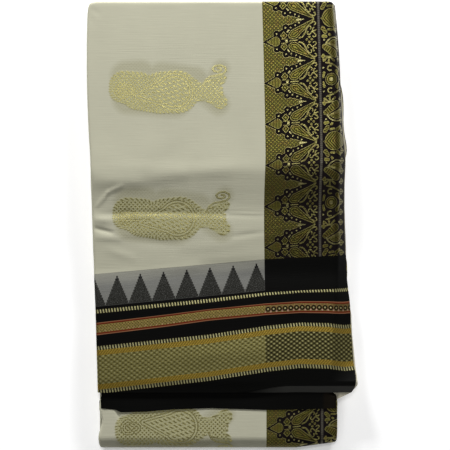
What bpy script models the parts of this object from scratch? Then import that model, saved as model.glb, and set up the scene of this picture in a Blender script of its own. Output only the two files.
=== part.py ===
"""A silk saree, folded into a flat oblong packet that lies on its underside.

The woven length is folded to a quarter of its width and then end over end. +Y is the top of the
packet, where the end fold is. The border and its selvedge are at +X, the side folds at -X. Each
stretch of cloth that shows is one wall; all the layers between them are one rounded solid.
"""

import math
from collections import namedtuple

import bpy
import numpy as np

MM = 0.001

HALF_LENGTH = 251.0 * MM  # from the middle to either end of the packet
CLOTH = 1.2 * MM  # thickness of a wall
GAP = 0.3 * MM  # between one piece and the next
PLY = CLOTH + GAP

FOLD = 3.0 * MM  # outer radius of the side folds and of the end fold
FOLD_TURN = math.radians(150)  # how far a fold's cloth turns under
FOLD_STEPS = 4
PALLU_TURN = math.radians(80)  # how far the top panel's side turns under beside the pallu
SHOULDER = 8.0 * MM  # radius at which the border turns down over the stack
SHOULDER_STEPS = 5
WAVES_FROM = -48.0 * MM  # the top panel's waves lie between these, so its rows are closer there
WAVES_TO = 84.0 * MM
CORNER_REACH = 14.0 * MM  # how far the top left corner's rounding reaches, and how much it takes
CORNER_CUT = 2.2 * MM

FREE_END = -187.5 * MM  # the top panel's pallu end
LOWER_TOP = 21.5 * MM  # height of the lower panel
LOWER_REACH = 14.3 * MM  # how far the bottom fold rounds out
LOWER_START = -150.0 * MM  # where the lower panel comes out of the stack
BOTTOM_FOLD = -236.7 * MM  # where the lower panel begins to round down
SEAM = -232.0 * MM  # between the lower panel and the underside
SECOND_START = -97.0 * MM  # where the second ply comes out of the stack
STEP_DOWN = 2.5 * MM  # how far before those the hidden layers begin to step down
SLACK = 0.25 * MM  # extra room under the waves of the top panel

# The top panel, in mm: where its side fold and its silver line lie, how far the cloth runs on to
# its selvedge and where that falls, where the border starts to turn down, and how high the
# surface is. The waves are in the heights.
Station = namedtuple("Station", "y fold line band selvedge shoulder height")
TOP_PANEL = [
    Station(-188, -138.1, 112.6, 32.8, 145.4, 122.4, 26.0),
    Station(-181, -138.2, 112.5, 35.5, 148.0, 122.4, 26.1),
    Station(-174, -138.4, 112.4, 36.6, 149.0, 122.5, 26.3),
    Station(-153, -138.9, 112.2, 37.0, 147.0, 123.0, 26.8),
    Station(-135, -139.3, 112.0, 37.0, 145.7, 123.8, 27.0),
    Station(-110, -139.9, 111.7, 37.0, 144.5, 124.7, 27.1),
    Station(-87, -140.4, 111.4, 37.0, 142.5, 125.2, 27.2),
    Station(-69, -141.0, 111.2, 37.0, 140.4, 125.7, 27.1),
    Station(-51, -141.7, 111.0, 37.0, 138.4, 125.9, 26.8),
    Station(-36, -142.4, 110.8, 37.0, 139.4, 126.0, 26.3),
    Station(-24, -142.9, 110.6, 37.0, 139.0, 126.0, 26.0),
    Station(-10, -143.5, 110.4, 37.0, 138.0, 125.9, 27.3),
    Station(2, -144.0, 110.3, 37.0, 137.0, 125.7, 27.7),
    Station(13, -144.4, 110.3, 37.0, 136.5, 125.6, 27.2),
    Station(25, -144.7, 110.3, 37.0, 136.2, 125.5, 26.2),
    Station(47, -145.4, 110.8, 37.0, 137.2, 125.8, 27.6),
    Station(73, -146.4, 111.7, 37.0, 139.3, 126.2, 30.0),
    Station(107, -148.0, 111.4, 37.0, 137.2, 126.0, 30.4),
    Station(157, -149.4, 110.4, 37.0, 133.8, 124.0, 30.6),
    Station(202, -150.8, 109.3, 37.0, 130.5, 121.0, 30.4),
    Station(251, -150.2, 107.9, 37.0, 127.3, 117.2, 30.0),
]

# The lower panel's two folded sides, in mm.
Sides = namedtuple("Sides", "y left right")
LOWER_PANEL = [
    Sides(-252, -137.5, 130.0),
    Sides(-239, -138.7, 130.4),
    Sides(-220, -135.0, 130.4),
    Sides(-206, -137.6, 130.4),
    Sides(-197, -137.2, 130.2),
    Sides(-184, -136.6, 121.0),
    Sides(-148, -136.5, 120.0),
]

# How far down the second ply's cut end reaches, in mm, across the packet.
CutEnd = namedtuple("CutEnd", "x y")
SECOND_END = [
    CutEnd(-138, -205.2),
    CutEnd(-118, -207.2),
    CutEnd(-114, -209.8),
    CutEnd(-86, -209.1),
    CutEnd(-55, -206.6),
    CutEnd(-12, -205.2),
    CutEnd(51, -207.2),
    CutEnd(130, -205.9),
]

# The rounded edge of the inner fold, in mm.
Rim = namedtuple("Rim", "y right")
INNER_FOLD = [
    Rim(-189, 143.4),
    Rim(-184, 147.6),
    Rim(-180, 150.5),
    Rim(-174, 150.7),
    Rim(-168, 150.7),
    Rim(-162, 149.8),
    Rim(-153, 149.0),
    Rim(-135, 147.6),
    Rim(-124, 146.3),
    Rim(-110, 145.5),
    Rim(-96, 144.6),
    Rim(-86, 141.0),
    Rim(-76, 134.5),
]
INNER_ROOT = 113.5 * MM
INNER_END = -188.4 * MM
INNER_START = -76.0 * MM
INNER_SLANT = 14.6 * MM  # how much further down the inner fold reaches at its root

# The sides of the hidden layers at +X, in mm: the upper ones, and the lower ones, which bulge.
Stack = namedtuple("Stack", "y upper lower")
STACK_SIDE = [
    Stack(-252, 126.0, 126.0),
    Stack(-238, 126.0, 126.0),
    Stack(-228, 127.6, 128.0),
    Stack(-187, 127.6, 129.0),
    Stack(-150, 125.0, 129.5),
    Stack(-110, 125.5, 130.5),
    Stack(-80, 126.5, 132.0),
    Stack(-66, 127.0, 139.0),
    Stack(-50, 127.2, 140.6),
    Stack(-36, 127.2, 139.0),
    Stack(-18, 127.2, 134.0),
    Stack(33, 127.0, 132.5),
    Stack(66, 127.4, 136.0),
    Stack(80, 127.4, 141.0),
    Stack(107, 127.2, 139.6),
    Stack(157, 125.4, 136.0),
    Stack(172, 124.0, 131.5),
    Stack(202, 121.4, 127.5),
    Stack(236, 118.0, 124.5),
    Stack(251, 117.4, 124.0),
]

# The hidden layers as they show at the sides, from the floor up, in mm: how high each fold
# starts and ends, and how far its bulge lies inside the packet's outline at each side.
Layer = namedtuple("Layer", "base crown left right end bulges")
LAYERS = [
    Layer(1.5, 4.2, 2.9, 1.0, 3.0, True),
    Layer(5.9, 9.2, 0.6, 0.2, 0.9, True),
    Layer(9.4, 12.4, 1.5, 1.6, 2.0, False),
    Layer(12.6, 16.0, 0.9, 0.4, 0.5, False),
    Layer(16.2, 18.8, 1.9, 1.4, 2.3, False),
    Layer(19.0, 22.0, 1.2, 7.0, 1.2, False),
    Layer(23.6, 26.5, 1.7, 13.5, 1.8, False),
]
NOTCH = 3.8 * MM  # depth of the grooves between the hidden folds
GROOVE = 2.4 * MM  # and of those at the border's side
RINGS = (0, 0.25, 0.75, 1)  # where a hidden fold's outlines lie, as parts of its height
CAP = 26.5 * MM  # height of the hidden layers in the table above
TOP_GROOVE = 22.0 * MM  # height of the groove below the uppermost fold
LOW_GROOVE = 5.9 * MM  # height of the groove above the lowest fold
CORNER = 13.0 * MM  # radius of the hidden layers' corners in plan
CORNER_STEPS = 4
END_STEPS = 6

# Where the packet's bottom right corner slants up.
SLANT_FROM = 84.0 * MM
SLANT_RISE = 6.3 * MM


def along(table, column, y):
    """The column's value at each y, in metres, on a smooth curve through the table's rows."""
    knots = np.array([row.y for row in table]) * MM
    values = np.array([getattr(row, column) for row in table]) * MM
    slopes = np.gradient(values, knots)
    y = np.asarray(y, float)
    k = np.clip(np.searchsorted(knots, y) - 1, 0, len(knots) - 2)
    span = knots[k + 1] - knots[k]
    f = np.clip((y - knots[k]) / span, 0, 1)
    rise = f * f * (3 - 2 * f)
    start = f * (1 - f) ** 2 * slopes[k] * span
    finish = f * f * (f - 1) * slopes[k + 1] * span
    return values[k] * (1 - rise) + values[k + 1] * rise + start + finish


def ramp(value, start, end):
    """0 before start and 1 past end, with a soft rise between them."""
    f = np.clip((value - start) / (end - start), 0, 1)
    return f * f * (3 - 2 * f)


def slanted(points):
    """The points, with the packet's bottom right corner drawn up."""
    x, y, z = np.moveaxis(points, -1, 0)
    reach = np.clip((x - SLANT_FROM) / (130 * MM - SLANT_FROM), 0, 1.2)
    lift = SLANT_RISE * reach * ramp(-y, 200 * MM, 236 * MM)
    return np.stack([x, y + lift, z], axis=-1)


def material(name, colour, roughness):
    """A cloth's plain material."""
    made = bpy.data.materials.new(name)
    made.use_nodes = True
    shader = made.node_tree.nodes["Principled BSDF"]
    shader.inputs["Base Color"].default_value = (*colour, 1)
    shader.inputs["Roughness"].default_value = roughness
    return made


def add(name, vertices, faces, cloth):
    """A new object with this mesh and material."""
    mesh = bpy.data.meshes.new(name)
    mesh.from_pydata([tuple(v) for v in vertices], [], [tuple(f) for f in faces])
    mesh.shade_smooth()
    mesh.materials.append(cloth)
    made = bpy.data.objects.new(name, mesh)
    bpy.context.scene.collection.objects.link(made)
    return made


def wall(name, points, cloth):
    """A wall of cloth whose outer face runs through a grid of points, rows by columns."""
    rows, columns = points.shape[:2]
    index = np.arange(rows * columns).reshape(rows, columns)
    corners = index[:-1, :-1], index[:-1, 1:], index[1:, 1:], index[1:, :-1]
    faces = np.stack(corners, axis=-1).reshape(-1, 4).tolist()
    made = add(name, slanted(points).reshape(-1, 3), faces, cloth)
    thickness = made.modifiers.new("Cloth", "SOLIDIFY")
    thickness.thickness = CLOTH
    thickness.offset = -1
    return made


def folded_rim(left, y, side_turn, end_turn):
    """x, y and depth of the columns of a side fold, whose corner with the end fold is round."""
    side = side_turn[:, None] * np.linspace(1, 0, FOLD_STEPS + 1)[:-1]
    end = np.broadcast_to(end_turn[:, None], side.shape)
    turn = np.maximum(side, end)
    near_side = side >= end
    part = np.where(near_side, end / np.maximum(side, 1e-9), side / np.maximum(end, 1e-9))
    bearing = math.pi / 4 * np.where(near_side, part, 2 - part)
    x = left[:, None] + FOLD * (1 - np.sin(turn) * np.cos(bearing))
    return x, y[:, None] + FOLD * np.sin(turn) * np.sin(bearing), FOLD * (1 - np.cos(turn))


def with_end_fold(flat_y):
    """The rows' y, run on into the end fold, and how far each row has turned."""
    turns = FOLD_TURN * np.arange(1, FOLD_STEPS + 1) / FOLD_STEPS
    y = np.append(flat_y, np.full(FOLD_STEPS, flat_y[-1]))
    return y, np.append(np.zeros(len(flat_y)), turns)


def droop(width, length, radius):
    """The angle to which cloth of this length turns down so that its edge falls at this width."""
    low, high = np.zeros_like(width), np.full_like(width, math.pi / 2)
    for _ in range(40):
        angle = (low + high) / 2
        reach = radius * np.sin(angle) + (length - radius * angle) * np.cos(angle)
        low, high = np.where(reach > width, angle, low), np.where(reach > width, high, angle)
    return angle


def shoulder_columns(shoulder, height, radius, turn, straight, steps):
    """x and z of the columns where cloth turns down over the shoulder and hangs on from there."""
    x, z = [], []
    for step in range(1, steps + 1):
        angle = turn * step / steps
        x.append(shoulder + radius * np.sin(angle))
        z.append(height - radius * (1 - np.cos(angle)))
    for part in (0.5, 1.0):
        x.append(x[steps - 1] + part * straight * np.cos(turn))
        z.append(z[steps - 1] - part * straight * np.sin(turn))
    return np.stack(x, axis=-1), np.stack(z, axis=-1)


def top_turn(y):
    """How far the top panel's border turns down at each y, and its length past the shoulder."""
    shoulder = along(TOP_PANEL, "shoulder", y)
    length = along(TOP_PANEL, "line", y) + along(TOP_PANEL, "band", y) - shoulder
    return droop(along(TOP_PANEL, "selvedge", y) - shoulder, length, SHOULDER), length


def make_top_panel(cloth):
    """Outer ply of the uppermost panel, from the free pallu end to the end fold."""
    pallu = np.linspace(FREE_END, WAVES_FROM, 14)
    waves = np.linspace(WAVES_FROM, WAVES_TO, 22)[1:]
    smooth = np.linspace(WAVES_TO, HALF_LENGTH - FOLD, 11)[1:]
    y, end_turn = with_end_fold(np.concatenate([pallu, waves, smooth]))
    left = along(TOP_PANEL, "fold", y)
    shoulder = along(TOP_PANEL, "shoulder", y)
    height = along(TOP_PANEL, "height", y)
    depth = FOLD * (1 - np.cos(end_turn))
    out = y + FOLD * np.sin(end_turn)

    side_turn = PALLU_TURN + (FOLD_TURN - PALLU_TURN) * ramp(y, -94 * MM, -74 * MM)
    rim_x, rim_y, rim_depth = folded_rim(left, y, side_turn, end_turn)
    flat = np.linspace(0, 1, 15)
    flat_x = left[:, None] + FOLD + flat * (shoulder - left - FOLD)[:, None]
    flat_z = np.repeat((height - depth)[:, None], len(flat), axis=1)
    turn, length = top_turn(y)
    straight = length - SHOULDER * turn
    radius = SHOULDER - depth
    hang_x, hang_z = shoulder_columns(shoulder, height - depth, radius, turn, straight, SHOULDER_STEPS)

    x = np.hstack([rim_x, flat_x, hang_x])
    z = np.hstack([height[:, None] - rim_depth, flat_z, hang_z])
    flat_y = np.repeat(out[:, None], x.shape[1] - FOLD_STEPS, axis=1)
    points = np.stack([x, np.hstack([rim_y, flat_y]), z], axis=-1)

    corner = np.array([left[-1], HALF_LENGTH])
    near = 1 - np.linalg.norm(points[..., :2] - corner, axis=-1) / CORNER_REACH
    pull = CORNER_CUT * np.clip(near, 0, 1) ** 2
    points[..., 0] += pull
    points[..., 1] -= pull
    return wall("top_panel", points, cloth)


def make_second_ply(cloth):
    """Second ply of the pallu, which shows past the free end of the top panel."""
    part = np.linspace(0, 1, 12)[:, None]
    across = np.linspace(0, 1, 19)
    left = -135.0 * MM - 2.6 * MM * ramp(-part, -0.22, -0.12)
    right = 130.3 * MM - 11.5 * MM * ramp(part, 0.16, 0.26)
    x = left + across * (right - left)
    knots = np.array([row.x for row in SECOND_END]) * MM
    end = np.interp(x, knots, np.array([row.y for row in SECOND_END]) * MM)
    y = end + (SECOND_START - end) * part**1.3
    drop = PLY * ramp(-y, 197 * MM, 205 * MM) * ramp(-x, -112 * MM, -98 * MM)
    z = along(TOP_PANEL, "height", np.maximum(y, FREE_END)) - PLY - drop
    return wall("pallu_second_ply", np.stack([x, y, z], axis=-1), cloth)


def make_inner_fold(cloth):
    """Cream fold of the inner plies, which shows past the border's edge."""
    part = np.linspace(0, 1, 16)
    rim_y = INNER_END + (INNER_START - INNER_END) * part
    root_y = rim_y - INNER_SLANT * (1 - part)
    depth = 2 * PLY + GAP
    radius = SHOULDER - depth
    rim = along(INNER_FOLD, "right", rim_y)
    shoulder = along(TOP_PANEL, "shoulder", rim_y)
    height = along(TOP_PANEL, "height", rim_y) - depth
    turn, _ = top_turn(rim_y)
    straight = (rim - shoulder - radius * np.sin(turn)) / np.cos(turn)
    hang_x, hang_z = shoulder_columns(shoulder, height, radius, turn, straight, 3)
    flat_x = INNER_ROOT + np.linspace(0, 1, 3) * (shoulder - INNER_ROOT)[:, None]
    x = np.hstack([flat_x, hang_x])
    z = np.hstack([np.repeat(height[:, None], 3, axis=1), hang_z])
    across = (x - INNER_ROOT) / (rim - INNER_ROOT)[:, None]
    y = root_y[:, None] + (rim_y - root_y)[:, None] * across
    return wall("inner_fold", np.stack([x, y, z], axis=-1), cloth)


def make_lower_panel(cloth):
    """The stretch below the top panel, which rounds down over the bottom end of the stack."""
    half = LOWER_TOP / 2
    flat = np.linspace(LOWER_START, BOTTOM_FOLD, 12)
    angle = np.linspace(math.pi / 2, -math.pi / 2, 13)[1:]
    path_y = np.concatenate([flat, BOTTOM_FOLD - LOWER_REACH * np.cos(angle), [SEAM - GAP]])
    path_z = np.concatenate([np.full(len(flat), LOWER_TOP), half * (1 + np.sin(angle)), [0]])
    out_y = np.concatenate([np.zeros(len(flat)), -np.cos(angle) / LOWER_REACH, [0]])
    out_z = np.concatenate([np.ones(len(flat)), np.sin(angle) / half, [-1]])
    size = np.hypot(out_y, out_z)
    left, right = (along(LOWER_PANEL, side, path_y)[:, None] for side in ("left", "right"))
    turn = FOLD_TURN * np.linspace(1, 0, FOLD_STEPS + 1)[:-1]
    flat_part = np.linspace(0, 1, 14)
    x = np.hstack(
        [
            left + FOLD * (1 - np.sin(turn)),
            left + FOLD + flat_part * (right - left - 2 * FOLD),
            right - FOLD * (1 - np.sin(turn[::-1])),
        ]
    )
    rim = FOLD * (1 - np.cos(turn))
    depth = np.concatenate([rim, np.zeros(len(flat_part)), rim[::-1]])
    y = path_y[:, None] - (out_y / size)[:, None] * depth
    z = path_z[:, None] - (out_z / size)[:, None] * depth
    points = np.stack([x, y, z], axis=-1)
    return wall("lower_panel", points[:, ::-1], cloth)


def make_underside(cloth):
    """Outer ply of the underside, flat on the floor, with its side and end folds turned up."""
    y, end_turn = with_end_fold(np.linspace(SEAM, HALF_LENGTH - FOLD - 1 * MM, 14))
    left = along(TOP_PANEL, "fold", np.maximum(y, FREE_END)) + 0.8 * MM
    side_turn = np.full(len(y), FOLD_TURN)
    rim_x, rim_y, rim_depth = folded_rim(left, y, side_turn, end_turn)
    flat = np.linspace(0, 1, 8)
    right = along(STACK_SIDE, "upper", y) + 1 * MM
    flat_x = left[:, None] + FOLD + flat * (right - left - FOLD)[:, None]
    flat_y = np.repeat((y + FOLD * np.sin(end_turn))[:, None], len(flat), axis=1)
    flat_z = np.repeat((FOLD * (1 - np.cos(end_turn)))[:, None], len(flat), axis=1)
    points = np.stack(
        [np.hstack([rim_x, flat_x]), np.hstack([rim_y, flat_y]), np.hstack([rim_depth, flat_z])],
        axis=-1,
    )
    return wall("underside_panel", points[::-1], cloth)


def clear_of(start):
    """Where the hidden layers end their step down to a ply that starts here."""
    return start + 0.5 * MM


def cap_height(y):
    """Height of the hidden layers' top: it steps down where a ply comes out of the stack."""
    height = along(TOP_PANEL, "height", y) - PLY - SLACK
    height -= PLY * ramp(-y, -clear_of(SECOND_START) - STEP_DOWN, -clear_of(SECOND_START))
    below_lower = ramp(-y, -clear_of(LOWER_START) - STEP_DOWN, -clear_of(LOWER_START))
    return height + (LOWER_TOP - PLY - height) * below_lower


def stack_height(nominal, y):
    """A height in the table of layers, as it comes out at each y under the real cap."""
    cap = cap_height(y)
    if nominal > TOP_GROOVE:
        return cap - CAP + nominal
    squeeze = (cap - CAP + TOP_GROOVE - LOW_GROOVE) / (TOP_GROOVE - LOW_GROOVE)
    return nominal + max(nominal - LOW_GROOVE, 0) * (squeeze - 1)


def stack_sides(layer, bulge, y):
    """x of the left and right sides of one level of the hidden layers."""
    outline = along(LOWER_PANEL, "left", y)
    outline = outline + (along(TOP_PANEL, "fold", y) - outline) * ramp(y, -150 * MM, -146 * MM)
    narrow = ramp(-y, 224 * MM, 229 * MM)
    left = NOTCH - (NOTCH - layer.left * MM) * bulge
    left = left + (NOTCH + 0.6 * MM - left) * narrow
    right = along(STACK_SIDE, "lower" if layer.bulges else "upper", y)
    return outline + left, right - layer.right * MM - GROOVE * (1 - bulge)


def stack_outline(layer, part, stations):
    """Points round one level of the hidden layers, clockwise from the left side's lowest station."""
    nominal = (layer.base + part * (layer.crown - layer.base)) * MM
    bulge = math.sin(math.pi * part) ** 0.5
    top = HALF_LENGTH - NOTCH + (NOTCH - layer.end * MM) * bulge
    half = LOWER_TOP / 2
    below = (stack_height(nominal, -HALF_LENGTH) - half) / (half - PLY)
    bottom = BOTTOM_FOLD - (LOWER_REACH - PLY - GAP) * math.sqrt(max(0, 1 - below**2))

    def corner(side, end, first):
        """The round corner at one side (-1 or 1) and end (-1 or 1), from this bearing on."""
        centre_y = (top if end > 0 else bottom) - end * CORNER
        edges = stack_sides(layer, bulge, centre_y)
        centre_x = edges[0] + CORNER if side < 0 else edges[1] - CORNER
        angle = np.radians(first - 90 * np.arange(CORNER_STEPS + 1) / CORNER_STEPS)
        return np.column_stack([centre_x + CORNER * np.cos(angle), centre_y + CORNER * np.sin(angle)])

    left, right = stack_sides(layer, bulge, stations)
    corners = corner(-1, 1, 180), corner(1, 1, 90), corner(1, -1, 0), corner(-1, -1, -90)
    inner = np.linspace(0, 1, END_STEPS + 1)[1:-1, None]
    upper_end = corners[0][-1] + inner * (corners[1][0] - corners[0][-1])
    lower_end = corners[2][-1] + inner * (corners[3][0] - corners[2][-1])
    plan = np.concatenate(
        [
            np.column_stack([left, stations]),
            corners[0],
            upper_end,
            corners[1],
            np.column_stack([right, stations])[::-1],
            corners[2],
            lower_end,
            corners[3],
        ]
    )
    return np.column_stack([plan, stack_height(nominal, plan[:, 1])])


def make_hidden_layers(cloth):
    """All the layers between the outer plies, as one rounded solid, layered at its sides."""
    near_lower = clear_of(LOWER_START) + np.array([0, STEP_DOWN])
    near_second = clear_of(SECOND_START) + np.array([0, STEP_DOWN])
    below = np.array([-222, -208, -194, -180, -165]) * MM
    pallu = np.array([-80, -66, -50, -36, -24, -10]) * MM
    field = np.array([2, 13, 25, 36, 47, 60, 73, 84, 96, 107, 130, 157, 172, 202, 236]) * MM
    stations = np.concatenate([below, near_lower, [-124 * MM], near_second, pallu, field])
    rings = [stack_outline(layer, part, stations) for layer in LAYERS for part in RINGS]
    count, sides = len(rings[0]), len(stations)
    faces = [tuple(range(count))]
    top = (len(rings) - 1) * count
    for start in range(0, top, count):
        for i in range(count):
            j = (i + 1) % count
            faces.append((start + i, start + i + count, start + j + count, start + j))
    # On the outline, the right side runs down from first_right to last_right.
    first_right = count // 2
    last_right = first_right + sides - 1
    for i in range(sides - 1):
        faces.append((top + i, top + last_right - i, top + last_right - i - 1, top + i + 1))
    faces.append([top + i for i in range(first_right, sides - 2, -1)])
    faces.append([top, *range(top + count - 1, top + last_right - 1, -1)])
    return add("hidden_layers", slanted(np.concatenate(rings)), faces, cloth)


def main():
    for old in list(bpy.data.objects):
        bpy.data.objects.remove(old)
    make_top_panel(material("Cream silk with zari border", (0.46, 0.44, 0.32), 0.5))
    make_second_ply(material("Black silk of the pallu", (0.012, 0.011, 0.012), 0.45))
    make_inner_fold(material("Cream silk, inner fold", (0.55, 0.52, 0.40), 0.55))
    make_lower_panel(material("Cream silk, lower panel", (0.46, 0.44, 0.32), 0.5))
    make_underside(material("Cream silk, underside", (0.46, 0.44, 0.32), 0.5))
    make_hidden_layers(material("Cream silk, hidden layers", (0.55, 0.52, 0.40), 0.55))


main()
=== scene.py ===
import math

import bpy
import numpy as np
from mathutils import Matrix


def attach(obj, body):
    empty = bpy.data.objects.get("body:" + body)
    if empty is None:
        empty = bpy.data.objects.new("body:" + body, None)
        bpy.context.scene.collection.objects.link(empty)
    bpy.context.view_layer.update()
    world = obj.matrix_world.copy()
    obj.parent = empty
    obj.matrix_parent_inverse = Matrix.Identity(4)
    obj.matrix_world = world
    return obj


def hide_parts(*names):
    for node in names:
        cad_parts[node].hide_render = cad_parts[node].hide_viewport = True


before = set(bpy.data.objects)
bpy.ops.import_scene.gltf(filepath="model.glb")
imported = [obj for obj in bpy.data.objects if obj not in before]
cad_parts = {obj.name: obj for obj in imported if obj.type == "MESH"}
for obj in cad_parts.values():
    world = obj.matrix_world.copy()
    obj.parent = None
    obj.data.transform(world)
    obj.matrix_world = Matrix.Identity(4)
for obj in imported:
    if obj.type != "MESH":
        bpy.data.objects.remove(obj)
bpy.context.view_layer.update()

# A silk saree folded into a flat packet: the cloth, its woven patterns, and the studio round it.
# Sizes are in millimetres until a mesh is made. Where cloth is patterned, "across" runs over its
# width from the silver line of the border, and "along" runs over its woven length.

MM = 0.001

# The field of the uppermost panel: ivory silk in a plain weave, with two large gold mangoes woven
# in as extra weft. The cloth folds under at the left side and over the end of the packet at the
# top, lies in two soft waves above the pallu, and is joined to the border and pallu in the loom.


def table(columns, *rows):
    """A table's columns by name, each an array with one value for each row."""
    return dict(zip(columns.split(), np.array(rows, float).T))


# The top panel from the free end up, in mm: x of the side fold, of the silver line, of the
# selvedge and of the shoulder's start, the width of cloth past the line, and the height.
TOP_PANEL = table(
    "y fold line band selvedge shoulder height",
    (-188, -139.2, 112.6, 33.3, 145.9, 122.4, 26.0),
    (-181, -139.3, 112.5, 37.1, 149.6, 122.4, 26.1),
    (-174, -139.4, 112.4, 38.4, 150.8, 122.5, 26.3),
    (-153, -139.9, 112.2, 38.8, 148.9, 123.0, 26.8),
    (-135, -140.4, 112.0, 38.4, 147.5, 123.8, 27.0),
    (-110, -141.1, 111.7, 37.6, 145.9, 124.7, 26.6),
    (-87, -141.9, 111.4, 37.0, 144.9, 125.2, 26.0),
    (-69, -142.8, 111.2, 37.0, 143.0, 125.7, 24.5),
    (-54, -143.5, 111.0, 37.0, 141.8, 125.8, 22.7),
    (-38, -143.9, 110.8, 37.0, 141.2, 126.0, 23.3),
    (-25, -144.5, 110.6, 37.0, 140.9, 126.0, 24.1),
    (-10, -144.8, 110.4, 37.0, 140.3, 125.9, 25.1),
    (2, -145.2, 110.3, 37.0, 139.8, 125.7, 25.5),
    (13, -145.5, 110.3, 37.0, 139.5, 125.6, 25.8),
    (20, -145.7, 110.3, 37.0, 139.3, 125.5, 26.2),
    (30, -145.9, 110.4, 37.0, 139.2, 125.6, 27.4),
    (47, -146.4, 110.8, 37.0, 139.2, 125.8, 29.8),
    (60, -146.5, 111.3, 37.0, 139.6, 126.0, 31.3),
    (73, -146.9, 111.7, 37.0, 140.0, 126.2, 31.3),
    (107, -148.9, 111.4, 37.0, 137.2, 126.0, 30.7),
    (157, -150.7, 110.4, 37.0, 134.8, 124.0, 30.6),
    (202, -150.9, 109.3, 37.0, 132.6, 121.0, 30.4),
    (251, -149.9, 107.9, 37.0, 128.6, 117.2, 30.0),
)
FOLD = 3.0  # radius of the side fold and of the end fold
FOLD_TURN = math.radians(150)  # how far the cloth turns under at both
FOLD_COLUMNS = FOLD_TURN * np.linspace(1, 0, 9)[:-1]
TUCK = 3.0  # how far the cloth runs on into the stack from a fold
END_LINE = 248.0  # where the cloth begins to turn over the end of the packet
SHOULDER = 8.0  # radius at which the border turns down over the stack
CORNER = (-150.2, 251.0)  # the packet's top left corner, which is drawn in a little
CORNER_REACH, CORNER_PULL = 14, 2.2
JOINT = -62.6  # across: where the border is joined to the field and to the pallu
FIRST_COLUMN, LAST_COLUMN = -246, 20  # across: in between, each column of points has one value
SEAM_AT_JOINT = -38.0  # along: where the pallu begins, at the border's joint
BORDER_RISE, FIELD_FALL = 0.052, 0.087  # of that seam, for each mm away from the joint
LEFT_EDGE = -254.0  # across: about where the side fold is
WAVES_END = -20.0  # along: below it, the rows of the field lean into the seam with the pallu

# Soft ridges (positive rise) and troughs of the top panel: x and y at both ends, width, rise.
CREASES = [
    (-139, 22, -127, 37, 2.2, 0.7),
    (-127, 37, -112, 44, 2.8, 0.6),
    (-138, 50, -96, 50, 8.5, 1.2),
    (-96, 50, -46, 57, 8.0, 0.8),
    (-46, 57, 6, 62, 7.5, 0.4),
    (-104, -16, -52, -22, 6.0, -0.35),
    (-44, -25, 20, -20, 7.0, 0.35),
    (-126, -28, -100, -36, 5.0, 0.45),
    (-70, 70, -34, 92, 12.0, -0.3),
    (-133, 12, -104, 15, 4.5, -0.6),
    (-104, 15, -28, 14, 3.5, -0.5),
    (-28, 14, 44, 12, 4.5, -0.4),
    (-20, -45, 47, -41, 6.0, -0.7),
    (-143, 7, -125, 6, 5.0, 0.9),
    (-143, -3, -123, -8, 2.6, -1.0),
    (-141, -13, -116, -15, 4.0, 0.5),
    (10, 14, 45, 13, 1.4, 0.25),
    (14, -12, 45, -8, 3.0, -0.4),
    (-120, 66, -40, 60, 9.0, 0.35),
    (-20, 62, 60, 70, 10.0, 0.3),
    (-90, 232, -66, 118, 15.0, 0.22),
    (-18, 244, -4, 92, 18.0, -0.25),
    (22, 236, 34, 96, 12.0, 0.18),
    (-140, 205, -128, 96, 10.0, -0.22),
    (-147, 243, -136, 236, 1.5, -0.5),
    (-148, 238, -143, 224, 1.2, -0.35),
    (-110, -62, -20, -46, 6.0, 0.25),
    (-60, -150, 60, -139, 10.0, 0.3),
    (60, -104, 118, -100, 8.0, -0.3),
    (78, 168, 112, 74, 9.0, 0.25),
    (66, 66, 124, 71, 3.0, 0.35),
]


def ramp(value, start, end):
    """0 before start and 1 past end, with a soft rise between them."""
    part = np.clip((value - start) / (end - start), 0, 1)
    return part * part * (3 - 2 * part)


def part_way(start, end, part):
    """The value at this part of the way from start to end."""
    return start + part * (end - start)


def read_off(listed, column, y):
    """The column's value at each y, on a smooth curve through the table's rows."""
    knots, values = listed["y"], listed[column]
    slopes = np.gradient(values, knots)
    k = np.clip(np.searchsorted(knots, y) - 1, 0, len(knots) - 2)
    span = knots[k + 1] - knots[k]
    part = np.clip((y - knots[k]) / span, 0, 1)
    rise = part * part * (3 - 2 * part)
    start = part * (1 - part) ** 2 * slopes[k] * span
    finish = part * part * (part - 1) * slopes[k + 1] * span
    return values[k] * (1 - rise) + values[k + 1] * rise + start + finish


def top_at(column, y):
    return read_off(TOP_PANEL, column, y)


def hang_angle(width, length):
    """Angle to which cloth of this length, past the shoulder, turns down to end at this width."""
    low, high = np.zeros_like(width), np.full_like(width, math.pi / 2)
    for _ in range(30):
        angle = (low + high) / 2
        reach = SHOULDER * np.sin(angle) + (length - SHOULDER * angle) * np.cos(angle)
        low, high = np.where(reach > width, angle, low), np.where(reach > width, high, angle)
    return angle


def relief(x, y):
    """Height that the creases add: each is a bell curve of the distance from its line."""
    height = np.zeros_like(x)
    for x0, y0, x1, y1, width, rise in CREASES:
        run_x, run_y = x1 - x0, y1 - y0
        part = np.clip(((x - x0) * run_x + (y - y0) * run_y) / (run_x**2 + run_y**2), 0, 1)
        away = np.hypot(x - x0 - part * run_x, y - y0 - part * run_y)
        height += rise * np.exp(-((away / width) ** 2)) * (0.55 + 0.45 * np.sin(math.pi * part))
    return height


def turned_under(side_turn, end_turn):
    """How far cloth that has turned by these angles round the side fold and the end fold reaches
    out over the side and over the end, and drops. The two arcs meet in a round corner."""
    turn = np.maximum(side_turn, end_turn)
    least = np.maximum(turn, 1e-9)
    nearer_side = side_turn >= end_turn
    bearing = math.pi / 4 * np.where(nearer_side, end_turn / least, 2 - side_turn / least)
    reach = FOLD * np.sin(turn)
    return reach * np.cos(bearing), reach * np.sin(bearing), FOLD * (1 - np.cos(turn))


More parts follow.
